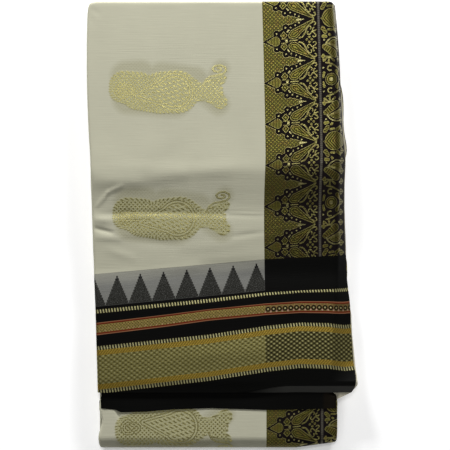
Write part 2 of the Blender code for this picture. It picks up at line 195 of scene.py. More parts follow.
def top_surface(across, along):
    """Outer face of the top panel.

    The cloth lies flat at the station's height. Past the side line and the end line it turns under
    on arcs and tucks in, and past the shoulder it turns down and hangs straight.
    """
    y = np.minimum(along, END_LINE)
    fold, line, shoulder = (top_at(column, y) for column in ("fold", "line", "shoulder"))
    # The waves run a little askew, and further down in the border.
    slant = 3.0 * np.sin((across + 250) / 62) + 0.06 * np.maximum(across - JOINT, 0)
    height = top_at("height", np.clip(y - slant * ramp(y, -60, -20), -188, 251))

    side_turn = np.clip((fold + FOLD - line - across) / FOLD, 0, FOLD_TURN)
    end_turn = np.clip((along - END_LINE) / FOLD, 0, FOLD_TURN)
    over_side, over_end, depth = turned_under(side_turn, end_turn)
    x = fold + FOLD - over_side + np.maximum(across - fold - FOLD + line, 0)
    out_y = y + over_end

    side_tuck = np.maximum(fold + FOLD - line - across - FOLD * FOLD_TURN, 0)
    end_tuck = np.maximum(along - END_LINE - FOLD * FOLD_TURN, 0)
    x += side_tuck * math.cos(math.pi - FOLD_TURN)
    out_y -= end_tuck * math.cos(math.pi - FOLD_TURN)
    depth += (side_tuck + end_tuck) * math.sin(math.pi - FOLD_TURN)

    hang = hang_angle(top_at("selvedge", y) - shoulder, line + top_at("band", y) - shoulder)
    past = np.maximum(line + across - shoulder, 0)
    turned = np.minimum(past / SHOULDER, hang)
    straight = past - SHOULDER * turned
    radius = SHOULDER - np.minimum(depth, SHOULDER - 1)
    x = np.where(past > 0, shoulder + radius * np.sin(turned) + straight * np.cos(hang), x)
    z = height - depth - radius * (1 - np.cos(turned)) - straight * np.sin(hang)
    z += relief(x, out_y) * (1 - ramp(past, 0, 6)) * (np.maximum(side_turn, end_turn) < 0.01)

    near = np.clip(1 - np.hypot(x - CORNER[0], out_y - CORNER[1]) / CORNER_REACH, 0, 1)
    pull = CORNER_PULL * near**2
    return np.stack([x + pull, out_y - pull, z], axis=-1)


def seam_along(across):
    """Where the pallu begins: its weft leans down to the left, and less so in the border."""
    past = across - JOINT
    return SEAM_AT_JOINT + BORDER_RISE * np.maximum(past, 0) - FIELD_FALL * np.maximum(-past, 0)


def leaning_rows(rows, across):
    """Rows of points along the cloth: the first lies on the pallu's seam, and all are level from
    WAVES_END on."""
    lean = np.clip((WAVES_END - rows) / (WAVES_END - SEAM_AT_JOINT), 0, 1)
    return rows + lean * (seam_along(across) - SEAM_AT_JOINT)


def with_end_turn(rows):
    """The rows, as a column, with those that turn over the end of the packet and tuck in."""
    turn = FOLD * FOLD_TURN
    over = END_LINE + turn * np.arange(1, 9) / 8
    return np.concatenate([rows, over, [END_LINE + turn + TUCK]])[:, None]


def fold_rim(y):
    """across of the columns that turn round the side fold, and of the first few past it."""
    start = top_at("fold", y) + FOLD - top_at("line", y)
    entry = part_way(start, FIRST_COLUMN, np.linspace(0, 0.75, 4))
    return np.hstack([start - FOLD * FOLD_COLUMNS, entry])


def spaced(*stops):
    """Values from the first stop on, in even steps: each further stop is (value, step)."""
    values = [stops[0]]
    for value, step in stops[1:]:
        count = max(1, round(abs(value - values[-1]) / step))
        values.extend(np.linspace(values[-1], value, count + 1)[1:])
    return np.array(values)


def side_by_side(*parts):
    """The parts' columns next to one another; a part that is a single row is repeated."""
    count = max(len(part) for part in parts if np.ndim(part) > 1)
    return np.hstack([np.broadcast_to(part, (count, np.shape(part)[-1])) for part in parts])


def into_scene(name, data):
    made = bpy.data.objects.new(name, data)
    bpy.context.scene.collection.objects.link(made)
    return made


def add_cloth(name, points, values, materials, change=None):
    """A piece of cloth through a grid of points, with a float attribute for each of values.

    Columns before change take the first material, and those from it on take the second.
    """
    rows, columns = points.shape[:2]
    index = np.arange(rows * columns).reshape(rows, columns)
    quads = np.stack([index[:-1, :-1], index[:-1, 1:], index[1:, 1:], index[1:, :-1]], axis=-1)
    mesh = bpy.data.meshes.new(name)
    mesh.from_pydata((points.reshape(-1, 3) * MM).tolist(), [], quads.reshape(-1, 4).tolist())
    for key, value in values.items():
        attribute = mesh.attributes.new(key, "FLOAT", "POINT")
        attribute.data.foreach_set("value", np.ascontiguousarray(value, np.float32).ravel())
    for material in materials:
        mesh.materials.append(material)
    if change is not None:
        kind = np.broadcast_to(np.arange(columns - 1) >= change, (rows - 1, columns - 1))
        mesh.polygons.foreach_set("material_index", kind.ravel().astype(np.int32))
    mesh.shade_smooth()
    return into_scene(name, mesh)


def teardrop(p, q, start, end, start_radius, end_radius):
    """Signed distance into a tapered stroke with round ends. Every motif is drawn with such
    strokes, each given by its start, its end and the radius at both."""
    run = np.subtract(end, start)
    part = ((p - start[0]) * run[0] + (q - start[1]) * run[1]) / max(run @ run, 1e-9)
    part = np.clip(part, 0, 1)
    away = np.hypot(p - start[0] - part * run[0], q - start[1] - part * run[1])
    return part_way(start_radius, end_radius, part) - away


def widest(p, q, strokes):
    """Signed distance into the union of tapered strokes."""
    return np.max([teardrop(p, q, *stroke) for stroke in strokes], axis=0)


def disc(centre, radius):
    """A stroke that has no length."""
    return (centre, centre, radius, radius)


def line_through(points, half):
    """The strokes of a line of this half width through the points."""
    return [(a, b, half, half) for a, b in zip(points[:-1], points[1:])]


CURL = [(59, 9), (62.5, 15.5), (68, 19.2), (75, 20.4), (81, 21.6), (85.2, 25.2), (84.6, 29.2)]
CURL += [(79.5, 31.7), (73.4, 31), (70, 28), (72, 25), (76.5, 24.3), (80.2, 26), (79.2, 28.2)]
CURL += [(76, 28.3)]
NOWHERE = -30.0  # signed distance where no mango is near
MANGO_REACH = 110  # how far from its middle a mango's bearing is given
MANGO = {
    "body": [
        ((-29, 8.5), (-12, 6), 17.2, 18.5),
        ((-33, 3), (-14, 1), 13.5, 19),
        ((-14, 0), (10, -1), 19, 22),
        ((12, 1), (30, 2), 23.5, 24.5),
        ((30, 2), (42, 3), 24.5, 16.5),
        ((42, 3), (58, 1.5), 15, 10),
        ((58, 1.5), (70, 3), 10, 12),
        ((69, 9), (80, 17), 8.5, 6),
        ((69, -2), (78, -9), 10, 8.5),
    ],
    "frill": [
        ((-27, 19), (-10, 20), 20, 20),
        ((14, 16), (50, 14), 22, 19),
        ((-26, -7), (26, -6), 19, 24),
        ((56, 2), (76, -12), 14, 15),
        ((68, 12), (80, 28), 12, 12),
    ],
    "heart": [disc((27, 2), 19.5), ((27, 2), (-14, -3), 19.5, 2.5)],
    "lobe": [((-31, 3), (-23, 4), 10.0, 7.0)],
    "curl": line_through(CURL, 1.05),
}


def mango_values(across, along, centres):
    """The gold mangoes: signed distances, in mm, to the edges of their parts.

    Each is a blunt oval body that lies along the weft, a narrow waist, and a tail that fans out
    and ends in a curl. A looser frill of leaves surrounds it all. around is the bearing from the
    middle, by which the leaves are spaced.
    """
    values = {name: np.full(across.shape, NOWHERE) for name in MANGO}
    around = np.zeros(across.shape)
    for centre_across, centre_along, up in centres:
        a, b = across - centre_across, (along - centre_along) * up
        for name, strokes in MANGO.items():
            values[name] = np.maximum(values[name], widest(a, b, strokes))
        around = np.where(np.hypot(a, b) < MANGO_REACH, np.arctan2(np.abs(b), a * 0.6), around)
    return {**values, "around": around}


class Value:
    """A node's output: a number or a colour that changes over the cloth. Sums add Math nodes."""

    def __init__(self, draft, socket):
        self.draft, self.socket = draft, socket

    def math(self, operation, *others, clamp=False):
        return self.draft.math(operation, self, *others, clamp=clamp)

    def __add__(self, other):
        return self.math("ADD", other)

    def __sub__(self, other):
        return self.math("SUBTRACT", other)

    def __rsub__(self, other):
        return self.draft.math("SUBTRACT", other, self)

    def __mul__(self, other):
        return self.math("MULTIPLY", other)

    def __truediv__(self, other):
        return self.math("DIVIDE", other)

    def __abs__(self):
        return self.math("ABSOLUTE")

    def wave(self, length):
        return (self * (2 * math.pi / length)).math("SINE")

    def scaled(self, factor, plus, clamp=False):
        """The value times the factor, plus a further value."""
        return self.math("MULTIPLY_ADD", factor, plus, clamp=clamp)

    def below(self, edge, soft):
        """1 where the value is below the edge, with a soft step of this width."""
        return self.scaled(-1 / soft, edge / soft + 0.5, clamp=True)

    def above(self, edge, soft=0.3):
        """1 where the value is above the edge."""
        return (self - edge).scaled(1 / soft, 0.5, clamp=True)

    def between(self, low, high, soft=0.3):
        """1 where the value is between two edges."""
        return abs(self - (low + high) / 2).below((high - low) / 2, soft)

    def wrapped(self, pitch):
        """Distance to the middle of the repeat that the value is in: 0 to half of pitch."""
        return abs((self / pitch).math("FRACT") - 0.5) * pitch

    def stripes(self, pitch, width, soft):
        """1 on stripes of this width, one in each repeat."""
        return self.wrapped(pitch).below(width / 2, soft)


def dots(across, along, pitch, radius, soft):
    """1 on round dots that stand in a diagonal lattice."""
    p, q = (across + along).wrapped(pitch), (across - along).wrapped(pitch)
    return (p * p + q * q).math("SQRT").below(radius, soft)


def greatest(*values):
    result = values[0]
    for value in values[1:]:
        result = result.math("MAXIMUM", value)
    return result


class Draft:
    """A node tree as it is drawn up."""

    def __init__(self, tree):
        self.tree = tree

    def fill(self, node, inputs):
        """Gives inputs of the node a plain value each, or a link from another node."""
        for key, value in inputs.items():
            if isinstance(value, Value):
                self.tree.links.new(value.socket, node.inputs[key])
            else:
                node.inputs[key].default_value = value

    def node(self, kind, inputs=(), **settings):
        made = self.tree.nodes.new(kind)
        for key, value in settings.items():
            setattr(made, key, value)
        self.fill(made, dict(inputs))
        return made

    def value(self, kind, inputs, output=0, **settings):
        """An output of a new node."""
        return Value(self, self.node(kind, inputs, **settings).outputs[output])

    def attributes(self, *names):
        return [self.value("ShaderNodeAttribute", {}, "Fac", attribute_name=name) for name in names]

    def math(self, operation, *values, clamp=False):
        inputs = dict(enumerate(values))
        return self.value("ShaderNodeMath", inputs, operation=operation, use_clamp=clamp)

    def mix(self, factor, under, over, blend="MIX"):
        inputs = {0: factor, 6: under, 7: over}
        return self.value("ShaderNodeMix", inputs, 2, data_type="RGBA", blend_type=blend)

    def layered(self, colour, *layers):
        """The colour with others laid over it: each layer is its share and its colour."""
        for share, over in layers:
            colour = self.mix(share, colour, over)
        return colour

    def toned(self, colour, tone):
        """The colour times the tone."""
        grey = self.value("ShaderNodeCombineColor", {0: tone, 1: tone, 2: tone})
        return self.mix(1.0, colour, grey, "MULTIPLY")

    def noise(self, across, along, scale, detail=2.0):
        """Noise over the cloth, 0.5 on average; a greater scale is finer."""
        place = self.value("ShaderNodeCombineXYZ", {0: across, 1: along})
        inputs = {"Vector": place, "Scale": scale, "Detail": detail}
        return self.value("ShaderNodeTexNoise", inputs)

    def group(self, tree, inputs):
        """All outputs of a node group."""
        made = self.node("ShaderNodeGroup", inputs, node_tree=tree)
        return [Value(self, socket) for socket in made.outputs]


def new_group(name, inputs, outputs):
    """A shader node group: its draft, its inputs as values, and its output node."""
    tree = bpy.data.node_groups.new(name, "ShaderNodeTree")
    for way, sockets in (("INPUT", inputs), ("OUTPUT", outputs)):
        for title, kind in sockets.items():
            tree.interface.new_socket(title, in_out=way, socket_type="NodeSocket" + kind)
    draft = Draft(tree)
    taken = draft.node("NodeGroupInput")
    values = [Value(draft, taken.outputs[title]) for title in inputs]
    return draft, values, draft.node("NodeGroupOutput")


WARP, WEFT, FLOAT = 0.5, 0.62, 0.8  # mm from one rib or gold thread to the next


def weave_group():
    """Plain silk weave: fine ribs of warp and weft, and slubs that vary the tone and thickness."""
    inputs = {"Across": "Float", "Along": "Float", "Colour": "Color", "Slub": "Float"}
    outputs = {"Colour": "Color", "Height": "Float"}
    draft, (across, along, colour, slub), given = new_group("Silk weave", inputs, outputs)
    slub_tone = draft.noise(across * 0.035, along, 0.9, 3.0) - 0.5
    cloud_tone = draft.noise(across, along, 0.022) - 0.5
    tone = cloud_tone.scaled(0.12, slub_tone.scaled(slub, 1.0))
    ribs = across.wave(WARP).scaled(0.6, along.wave(WEFT))
    height = slub_tone.scaled(2.0, ribs * 0.1)
    draft.fill(given, {"Colour": draft.toned(colour, tone), "Height": height})
    return draft.tree


def zari_group():
    """Gold thread laid over the silk in weft floats. Its glints are painted: noise makes its colour
    lighter and darker along each thread, and also raises its bump.
    """
    inputs, outputs = {"Across": "Float", "Along": "Float"}, {"Tone": "Float", "Height": "Float"}
    draft, (across, along), given = new_group("Zari thread", inputs, outputs)
    thread = along.wave(FLOAT)
    glint = draft.noise(across * 0.55, along * 1.3, 1.1)
    # Painted glint: the noise makes the gold's colour lighter and darker in spots.
    tone = thread.scaled(0.1, glint.scaled(1.3, 0.35))
    draft.fill(given, {"Tone": tone, "Height": glint.scaled(1.2, thread)})
    return draft.tree


SILK_WEAVE = weave_group()
ZARI_THREAD = zari_group()


def silk_material(name, sheen=0.12, roughness=0.6, specular=0.06):
    """The draft of a material whose Principled shader has the sheen of silk."""
    material = bpy.data.materials.new(name)
    material.use_nodes = True
    draft = Draft(material.node_tree)
    draft.material, draft.shader = material, material.node_tree.nodes["Principled BSDF"]
    draft.fill(draft.shader, {"Roughness": roughness, "Specular IOR Level": specular})
    draft.fill(draft.shader, {"Sheen Weight": sheen, "Sheen Roughness": 0.35})
    return draft


def finish_silk(
    draft, colour, across, along, slub=0.12, zari=None, gold=None, raised=0.10, metal=None
):
    """Wires weave and gold thread into the shader, and gives back the material.

    zari is the share of gold thread, 0 to 1, gold its colour, and metal how metallic it is.
    raised is the height of the relief, in mm.
    """
    inputs = {"Across": across, "Along": along}
    surface, height = draft.group(SILK_WEAVE, {**inputs, "Colour": colour, "Slub": slub})
    if zari is not None:
        tone, thread = draft.group(ZARI_THREAD, inputs)
        # The gold's colour takes the thread's painted glint.
        surface = draft.mix(zari, surface, draft.toned(gold, tone))
        height = zari.scaled(thread.scaled(0.12, 2.2), height)
        draft.fill(draft.shader, {"Metallic": zari * metal, "Roughness": zari.scaled(-0.25, 0.6)})
    inputs = {"Height": height, "Strength": 0.5, "Distance": raised * MM}
    bump = draft.value("ShaderNodeBump", inputs)
    draft.fill(draft.shader, {"Base Color": surface, "Normal": bump})
    return draft.material


IVORY = (0.452, 0.442, 0.337, 1)
FRILL_SHADE = (0.24, 0.225, 0.12, 1)
MANGO_GROUND = (0.355, 0.34, 0.175, 1)
MANGO_LINE = (0.295, 0.262, 0.092, 1)


def field_material():
    """Ivory silk with the gold mangoes. Every line in them follows one of the signed distances."""
    draft = silk_material("ivory_silk_with_gold_mangoes")
    across, along, around = draft.attributes("across", "along", "around")
    body, frill, heart, lobe, curl = draft.attributes(*MANGO)
    # Leaves round the edge, which give it its scallops.
    leaf = (around * 60.0).math("SINE")
    inside = leaf.scaled(0.4, body).above(0.3, 1.8)
    leaves = leaf.above(0.25, 1.2) * body.between(0.0, 3.4, 1.2)
    # Seeds in a lattice, and in the heart barbs like a feather's, in rows.
    seeds = dots(across, along, 4.7, 1.5, 0.8)
    seeds = seeds * (body.above(3.6, 0.6) * (1 - heart.above(-1.4, 0.5)))
    barbs = across.scaled(0.62, along).stripes(4.4, 2.0, 0.8)
    rows = across.scaled(-0.3, along).stripes(5.6, 3.8, 0.8)
    barbs = barbs * rows * heart.above(3.0, 0.5)
    rings = lobe.stripes(2.7, 1.0, 0.6) * lobe.above(0.0, 0.5)
    contour = greatest(heart.between(-1.3, -0.1, 0.5), heart.between(1.8, 3.0, 0.5))
    lines = greatest(leaves, seeds, barbs, rings, contour) * inside
    lines = greatest(lines, curl.between(0.0, 0.6, 0.4))
    ground = draft.mix(lines, MANGO_GROUND, MANGO_LINE)
    # Between the gold, ivory silk shows in fine flecks.
    bare = draft.noise(across, along, 0.75).above(0.55, 0.12) * 0.5
    frill_cover = frill.above(3.0, 7.0) * dots(across, along, 3.9, 1.2, 0.9).scaled(0.16, 0.34)
    silk = draft.layered(IVORY, (frill_cover, FRILL_SHADE), (bare * inside, IVORY))
    cover = inside * (0.95 - bare)
    # The lines are flat gold thread, which goes dark where the cloth slopes away from the light.
    metal = lines.scaled(0.9, 0.05)
    zari = greatest(cover, greatest(lines, curl.above(0.0, 0.5)) * 0.9)
    return finish_silk(draft, silk, across, along, 0.06, zari, ground, metal=metal)


IVORY_FIELD = field_material()
TOP_MANGOES = [(-190.2, 147.5, 1), (-186.6, 6.0, 1)]


def make_top_field():
    rows = with_end_turn(spaced(SEAM_AT_JOINT, (50, 1.0), (106, 2.5), (190, 1.0), (END_LINE, 3.0)))
    rim = fold_rim(np.minimum(leaning_rows(rows, LEFT_EDGE), END_LINE))
    fixed = spaced(FIRST_COLUMN, (-241, 2.5), (-96, 1.1), (JOINT, 3.0))
    across = side_by_side(rim[:, :1] - TUCK, rim, fixed)
    along = leaning_rows(rows, across)
    values = {"across": across, "along": along, **mango_values(across, along, TOP_MANGOES)}
    return add_cloth("top_field", top_surface(across, along), values, [IVORY_FIELD])


top_field = make_top_field()
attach(top_field, "root")
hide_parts("top_panel")

# The border of the uppermost panel: black silk and gold thread, 100 mm wide, joined to the field
# in the loom. A row of temple spires points into the field; past the silver line, the outer band
# has mangoes and fruit and hangs over the side of the stack down to its selvedge.

SPIRE_PITCH = 45.9
FIRST_SPIRE = 204.5  # along: where the uppermost spire's tip is
BAND_PITCH = 3 * SPIRE_PITCH
BORDER_LEAN = 0.066  # how far the weft rises, for each mm across
HATCH_PITCH = 2.2
PLAIN = HATCH_PITCH / 2  # hatch of a shape that is solid gold: the middle of a stripe
SPIRE_LENGTH = 60.0  # from a spire's tip to the silver line
SILVER_HALF = 1.25  # half the silver line's width
GOLD_END = 35.4  # across: where the gold ends, short of the selvedge
FRUIT = (12.6, BAND_PITCH / 2)


def arc_points(centre, radius, first, last, count):
    """Points on an arc, from one angle to another in degrees."""
    angles = np.radians(np.linspace(first, last, count))
    return [(centre[0] + radius * np.cos(a), centre[1] + radius * np.sin(a)) for a in angles]


def hook(centre, opening):
    """Strokes of a small scroll: most of a ring, with a tail, open at this angle."""
    ring = arc_points(centre, 1.9, opening + 60, opening + 285, 7)
    tail = math.radians(opening - 35)
    end = (centre[0] + 4.2 * math.cos(tail), centre[1] + 4.2 * math.sin(tail))
    return line_through([*ring, end], 0.66)


def woven_together(shapes):
    """Union of drawn shapes, each (signed distance, hatch), with the hatch of the nearest one."""
    gold, hatch = (np.broadcast_to(value, shapes[0][0].shape).copy() for value in shapes[0])
    for field, lines in shapes[1:]:
        nearer = field > gold
        gold, hatch = np.where(nearer, field, gold), np.where(nearer, lines, hatch)
    return gold, hatch


def spire_values(p, q):
    """One temple spire, mirrored about its axis at q = 0; p runs from its tip to the silver line.

    Its black outline steps out round pale beads. Inside are a leaf bud, two mangoes with lines
    that follow their edges, a black lozenge with a four-petalled flower, and a row of scrolls.
    """
    tip = ((14.5, 0), (0.6, 0), 7.3, 0.3)
    steps = [disc((15.2, 8.6), 3.2), disc((25.4, 15.0), 3.3), disc((31.8, 14.9), 3.2)]
    wedge = np.minimum((17.8 + 0.36 * (p - 32.0) - q) * 0.94, p - 29.5)
    inner_wedge = np.minimum((10.5 + 0.45 * (p - 18.0) - q) * 0.91, p - 14)
    spire = np.max([widest(p, q, [tip, *steps]), wedge, inner_wedge], axis=0)

    beads = [(15.2, 8.4), (25.2, 14.8), (31.1, 14.5), (36.4, 16.8), (40.6, 19.4)]
    pale = [disc(bead, 1.05) for bead in beads] + [disc((26.1, 0), 1.5)]
    pale += [((27.4, 9.9), (29.0, 11.9), 0.9, 0.8), ((38.8, 23), (46.4, 23), 1.2, 0.5)]

    bud = teardrop(p, q, (13.4, 0), (4.6, 0), 5.7, 0.6)
    lozenge = (1 - np.abs(p - 23.2) / 4.3 - np.abs(q - 6.3) / 4.7) * 3.2
    tail, root = ((35.0, 7.3), (57.0, 22.2), 5.5, 0.8), ((35.0, 7.3), (32.2, 6.0), 5.5, 4.0)
    mango = widest(p, q, [tail, root])
    plain = line_through([(40.2, 2.2), (44.0, 3.4), (46.6, 6.8), (48.2, 10.2)], 0.85)
    plain += [((30.0, 0), (38.0, 0), 0.7, 0.7), ((20.4, 2.4), (27.6, 2.0), 0.45, 0.45)]
    plain += hook((57.3, 4.6), 150) + hook((57.3, 11.2), 35) + hook((57.3, 17.8), 215)
    plain += hook((51.4, 7.4), 60) + hook((52.0, 13.2), 245)
    plain += [disc(petal, 1.4) for petal in [(54.4, 0), (48.8, 0), (51.6, 2.8)]]
    shapes = [
        (bud, PLAIN + 0.54 + 0.1 * np.cos(2.0 * p)),
        (lozenge, 0.7 + lozenge),
        (mango, 0.7 + mango),
        (widest(p, q, plain), PLAIN),
    ]
    return spire, *woven_together(shapes), widest(p, q, pale)


def from_middle(value, middle, pitch):
    """Distance to the nearest of the middles, which repeat at this pitch."""
    return np.abs((value - middle + pitch / 2) % pitch - pitch / 2)


def outer_band_values(r, s):
    """The outer band: r runs from the silver line to the selvedge, and s is 0 at each broad mango
    and greatest at each fruit, about which the band is mirrored."""
    broad = widest(r, s, [((14.5, 0), (2.4, 0), 10.6, 0.4), ((14.5, 0), (28, 0), 10.6, 6.5)])
    dome_middle = (18.0, 33.5)
    dome = np.minimum(widest(r, s, [disc(dome_middle, 9.2)]), 30.6 + 0.42 * (r - 16) - s)
    bar_leaf = teardrop(r, s, (6.0, 32.0), (17.6, 40.6), 3.1, 4.3)
    bars = (r - 6.0) * 0.8 + (s - 32.0) * 0.6
    fruit = widest(r, s, [disc(FRUIT, 6.8)])
    edge_leaf = (r, from_middle(s, 0, BAND_PITCH / 12))

    # Leaves in solid gold, an arch over the dome, a sash, a quill with its hook, and a spray.
    arch = line_through(arc_points(dome_middle, 11.6, 198, 300, 8), 0.75)
    plain = [
        ((10.6, 13.0), (14.6, 13.6), 1.2, 1.1),
        ((18.2, 12.6), (23.0, 15.6), 2.0, 1.6),
        ((4.8, 20.4), (7.6, 20.8), 2.0, 1.7),
        ((11.4, 18.4), (12.4, 19.6), 1.3, 1.3),
        ((4.2, 41.0), (4.2, 47.0), 1.3, 0.8),
        ((4.6, 61.0), (3.8, 66.0), 1.5, 1.1),
        ((19.5, 60.5), (24.5, 66.5), 2.6, 0.8),
        ((8.6, 28.2), (22.5, 35.0), 0.8, 0.8),
        *arch,
        *line_through([(7.0, 50.0), (13.0, 51.6), (21.5, 56.2)], 0.85),
        *line_through(arc_points((11.2, 56.4), 2.7, 60, 300, 8), 0.75),
    ]
    for a in np.radians([184, 138, 92, 46, 2]):
        end = (10.5 + 8.0 * math.cos(a), 43.2 + 6.6 * math.sin(a))
        plain.append(((10.5, 43.2), end, 0.4, 1.3))
    shapes = [
        (broad, 0.7 * r - 0.62 * np.abs(s)),
        (teardrop(r, s, (4.4, 11.4), (7.2, 15.8), 2.3, 2.1), 0.9 * (s - 0.5 * r)),
        (dome, 0.3 + 1.15 * (s - r * 0.35)),
        (bar_leaf, bars * HATCH_PITCH / 2.6),
        (fruit, PLAIN + fruit * 0.9),
        (teardrop(*edge_leaf, (27.0, 0), (32.0, 0), 3.6, 0.6), 0.9 + edge_leaf[1]),
        (widest(r, s, plain), PLAIN),
    ]
    pale = [disc(at, 1.1) for at in [(5.6, 24.4), (22.5, 46.5), (3.8, 55.6)]] + [disc(FRUIT, 2.0)]
    pale = np.maximum(widest(r, s, pale), widest(r, s, arch) - 0.1)
    return *woven_together(shapes), pale


def border_values(across, along, first_spire):
    """Signed distances and hatch of the whole border, with its repeats folded on to one of each."""
    p = across - JOINT
    along = along - BORDER_LEAN * p
    q = from_middle(along, first_spire, SPIRE_PITCH)
    s = from_middle(along, first_spire + SPIRE_PITCH / 2, BAND_PITCH)
    spire, gold, hatch, pale = spire_values(p, q)
    band_gold, band_hatch, band_pale = outer_band_values(across, s)
    outer = across > 0.5
    inner_end = SPIRE_LENGTH - p
    return {
        "across": across,
        "along": along,
        "spire": np.clip(np.where(p < 61, spire, 9.0), -9, 9),
        "gold": np.clip(np.where(outer, band_gold, np.minimum(gold, inner_end)), -3, 3),
        "hatch": np.where(outer, band_hatch, hatch),
        "pale": np.clip(np.where(outer, band_pale, np.minimum(pale, inner_end)), -3, 3),
    }


BORDER_BLACK = (0.0050, 0.0030, 0.0032, 1)
BORDER_GOLD = (0.152, 0.138, 0.028, 1)
COPPER_GOLD = (0.165, 0.126, 0.030, 1)
PALE_GOLD = (0.29, 0.262, 0.112, 1)
SILVER = (0.12, 0.11, 0.088, 1)
UNDYED = (0.24, 0.22, 0.16, 1)
DIAPER = 4.3  # pitch of the lozenges on the ground


def border_material():
    """Black silk with the gold of the border, read from the signed distances on the cloth."""
    draft = silk_material("black_silk_with_gold_border", 0.0, 0.5, 0.06)
    across, along = draft.attributes("across", "along")
    spire, gold, hatch, pale = draft.attributes("spire", "gold", "hatch", "pale")
    p = across - JOINT
    # The ground outside the spires: a fine diaper of gold lozenges, each with a pale dot.
    lozenge = greatest((p + along).stripes(DIAPER, 1.5, 0.9), (p - along).stripes(DIAPER, 1.5, 0.9))
    before_line = 1 - p.above(SPIRE_LENGTH - 0.2)
    ground = (1 - lozenge * 0.64) * (1 - spire.above(-1.5)) * before_line
    seed = dots(p, along, DIAPER, 1.2, 0.8) * ground
    outline = spire.between(-1.2, -0.4, 0.35) * before_line
    solid = gold.above(0.0, 0.35) * hatch.stripes(HATCH_PITCH, 1.2, 0.4)
    solid = solid.scaled(0.85, gold.above(0.6, 0.6) * 0.15)
    edge = gold.between(0.0, 0.65)
    bright = pale.above(0.0, 0.35)
    twisted = along.stripes(2.4, 1.5, 0.6).scaled(0.35, 0.45)
    silver = across.between(-SILVER_HALF, SILVER_HALF, 0.9) * twisted
    zari = greatest(ground, outline, solid, edge, bright, silver)
    # Pale gold on the beads and dots, and halfway to pale along the edges and outlines of the gold:
    # a painted highlight there.
    pale_and_edge_highlight = greatest(bright, greatest(edge, outline) * 0.5, seed * 0.75)
    # The thread's gilding is redder in some places than in others. Across the dip above the pallu,
    # where the cloth slopes away from the light, the gold is painted darker: painted shade.
    copper = draft.noise(across, along, 0.16).above(0.56, 0.14)
    colour = draft.layered(
        BORDER_GOLD,
        (copper, COPPER_GOLD),
        (pale_and_edge_highlight, PALE_GOLD),
        # Painted shade on the slope of the dip.
        (along.between(-80, 76, 24) * 0.33, BORDER_BLACK),
        (across.between(-1.7, 1.7, 0.1), SILVER),
    )
    # Past the gold, the selvedge is a narrow plain edge of undyed silk.
    plain_edge = across.above(GOLD_END, 0.5)
    silk = draft.mix(plain_edge, BORDER_BLACK, UNDYED)
    zari = zari * (1 - plain_edge)
    return finish_silk(draft, silk, across, along, 0.3, zari, colour, 0.15, 0.97)


GOLD_BORDER = border_material()


def make_top_border():
    rows = with_end_turn(spaced(SEAM_AT_JOINT, (END_LINE, 0.68)))
    inner = spaced(JOINT - 0.4, (JOINT, 0.4), (-2.4, 0.66), (2.4, 1.2), (LAST_COLUMN, 0.7))
    outer = part_way(LAST_COLUMN, top_at("band", rows), np.linspace(0, 1, 24)[1:])
    across = side_by_side(inner, outer)
    along = leaning_rows(rows, across)
    points = top_surface(across, along)
    points[:, 0, 2] -= 0.15
    return add_cloth("top_border", points, border_values(across, along, FIRST_SPIRE), [GOLD_BORDER])


top_border = make_top_border()
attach(top_border, "root")
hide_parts("top_panel")

# The pallu: the richer end of the woven length, in black silk. Its bands run across the whole
# width: stepped temples in grey, a ladder, red and peach lines with a gold band between them, and
# a broad zari band. It ends in a plain black strip that curls down at the right.

FREE_END = -187.5
PALLU_FAN = 0.00024  # how much further apart its lines lie, for each mm to the left of the joint
BAND_GREY = (0.138, 0.138, 0.126, 1)
TEMPLE_GREY = (0.0125, 0.0125, 0.0100, 1)
PALLU_BLACK = (0.0017, 0.0017, 0.0014, 1)
PAINTED_EDGE_SHEEN = (0.055, 0.055, 0.05, 1)
LINE_RED = (0.115, 0.014, 0.004, 1)
LINE_PEACH = (0.22, 0.095, 0.045, 1)
STRIP_GOLD = (0.33, 0.225, 0.036, 1)
TICK_GOLD = (0.42, 0.39, 0.19, 1)
BAND_GOLD = (0.25, 0.185, 0.055, 1)
BAND_COPPER = (0.18, 0.12, 0.042, 1)
LATTICE_GOLD = (0.19, 0.168, 0.052, 1)
LATTICE_DOT = (0.32, 0.295, 0.13, 1)
TEMPLES = (4.0, 34.0)  # where each band begins and ends, from the top line of the pallu
LADDER = (38.2, 42.1)
UPPER_RED = (53.6, 54.8)
RING_BAND = (55.0, 63.3)
LOWER_RED = (63.5, 64.8)
ZARI_BAND = (77.4, 128.4)
TICK = 4.2
STRIP = 5.8
TEMPLE_PITCH = 26.1
TEMPLE_STEPS = 11
TICK_PITCH = 3.22
RING_PITCH = 6.4
LATTICE_PITCH = 4.9
FLECK_GREY = (0.5, 0.5, 0.48, 1)
DROP_RED = (0.45, 0.28, 0.20, 1)


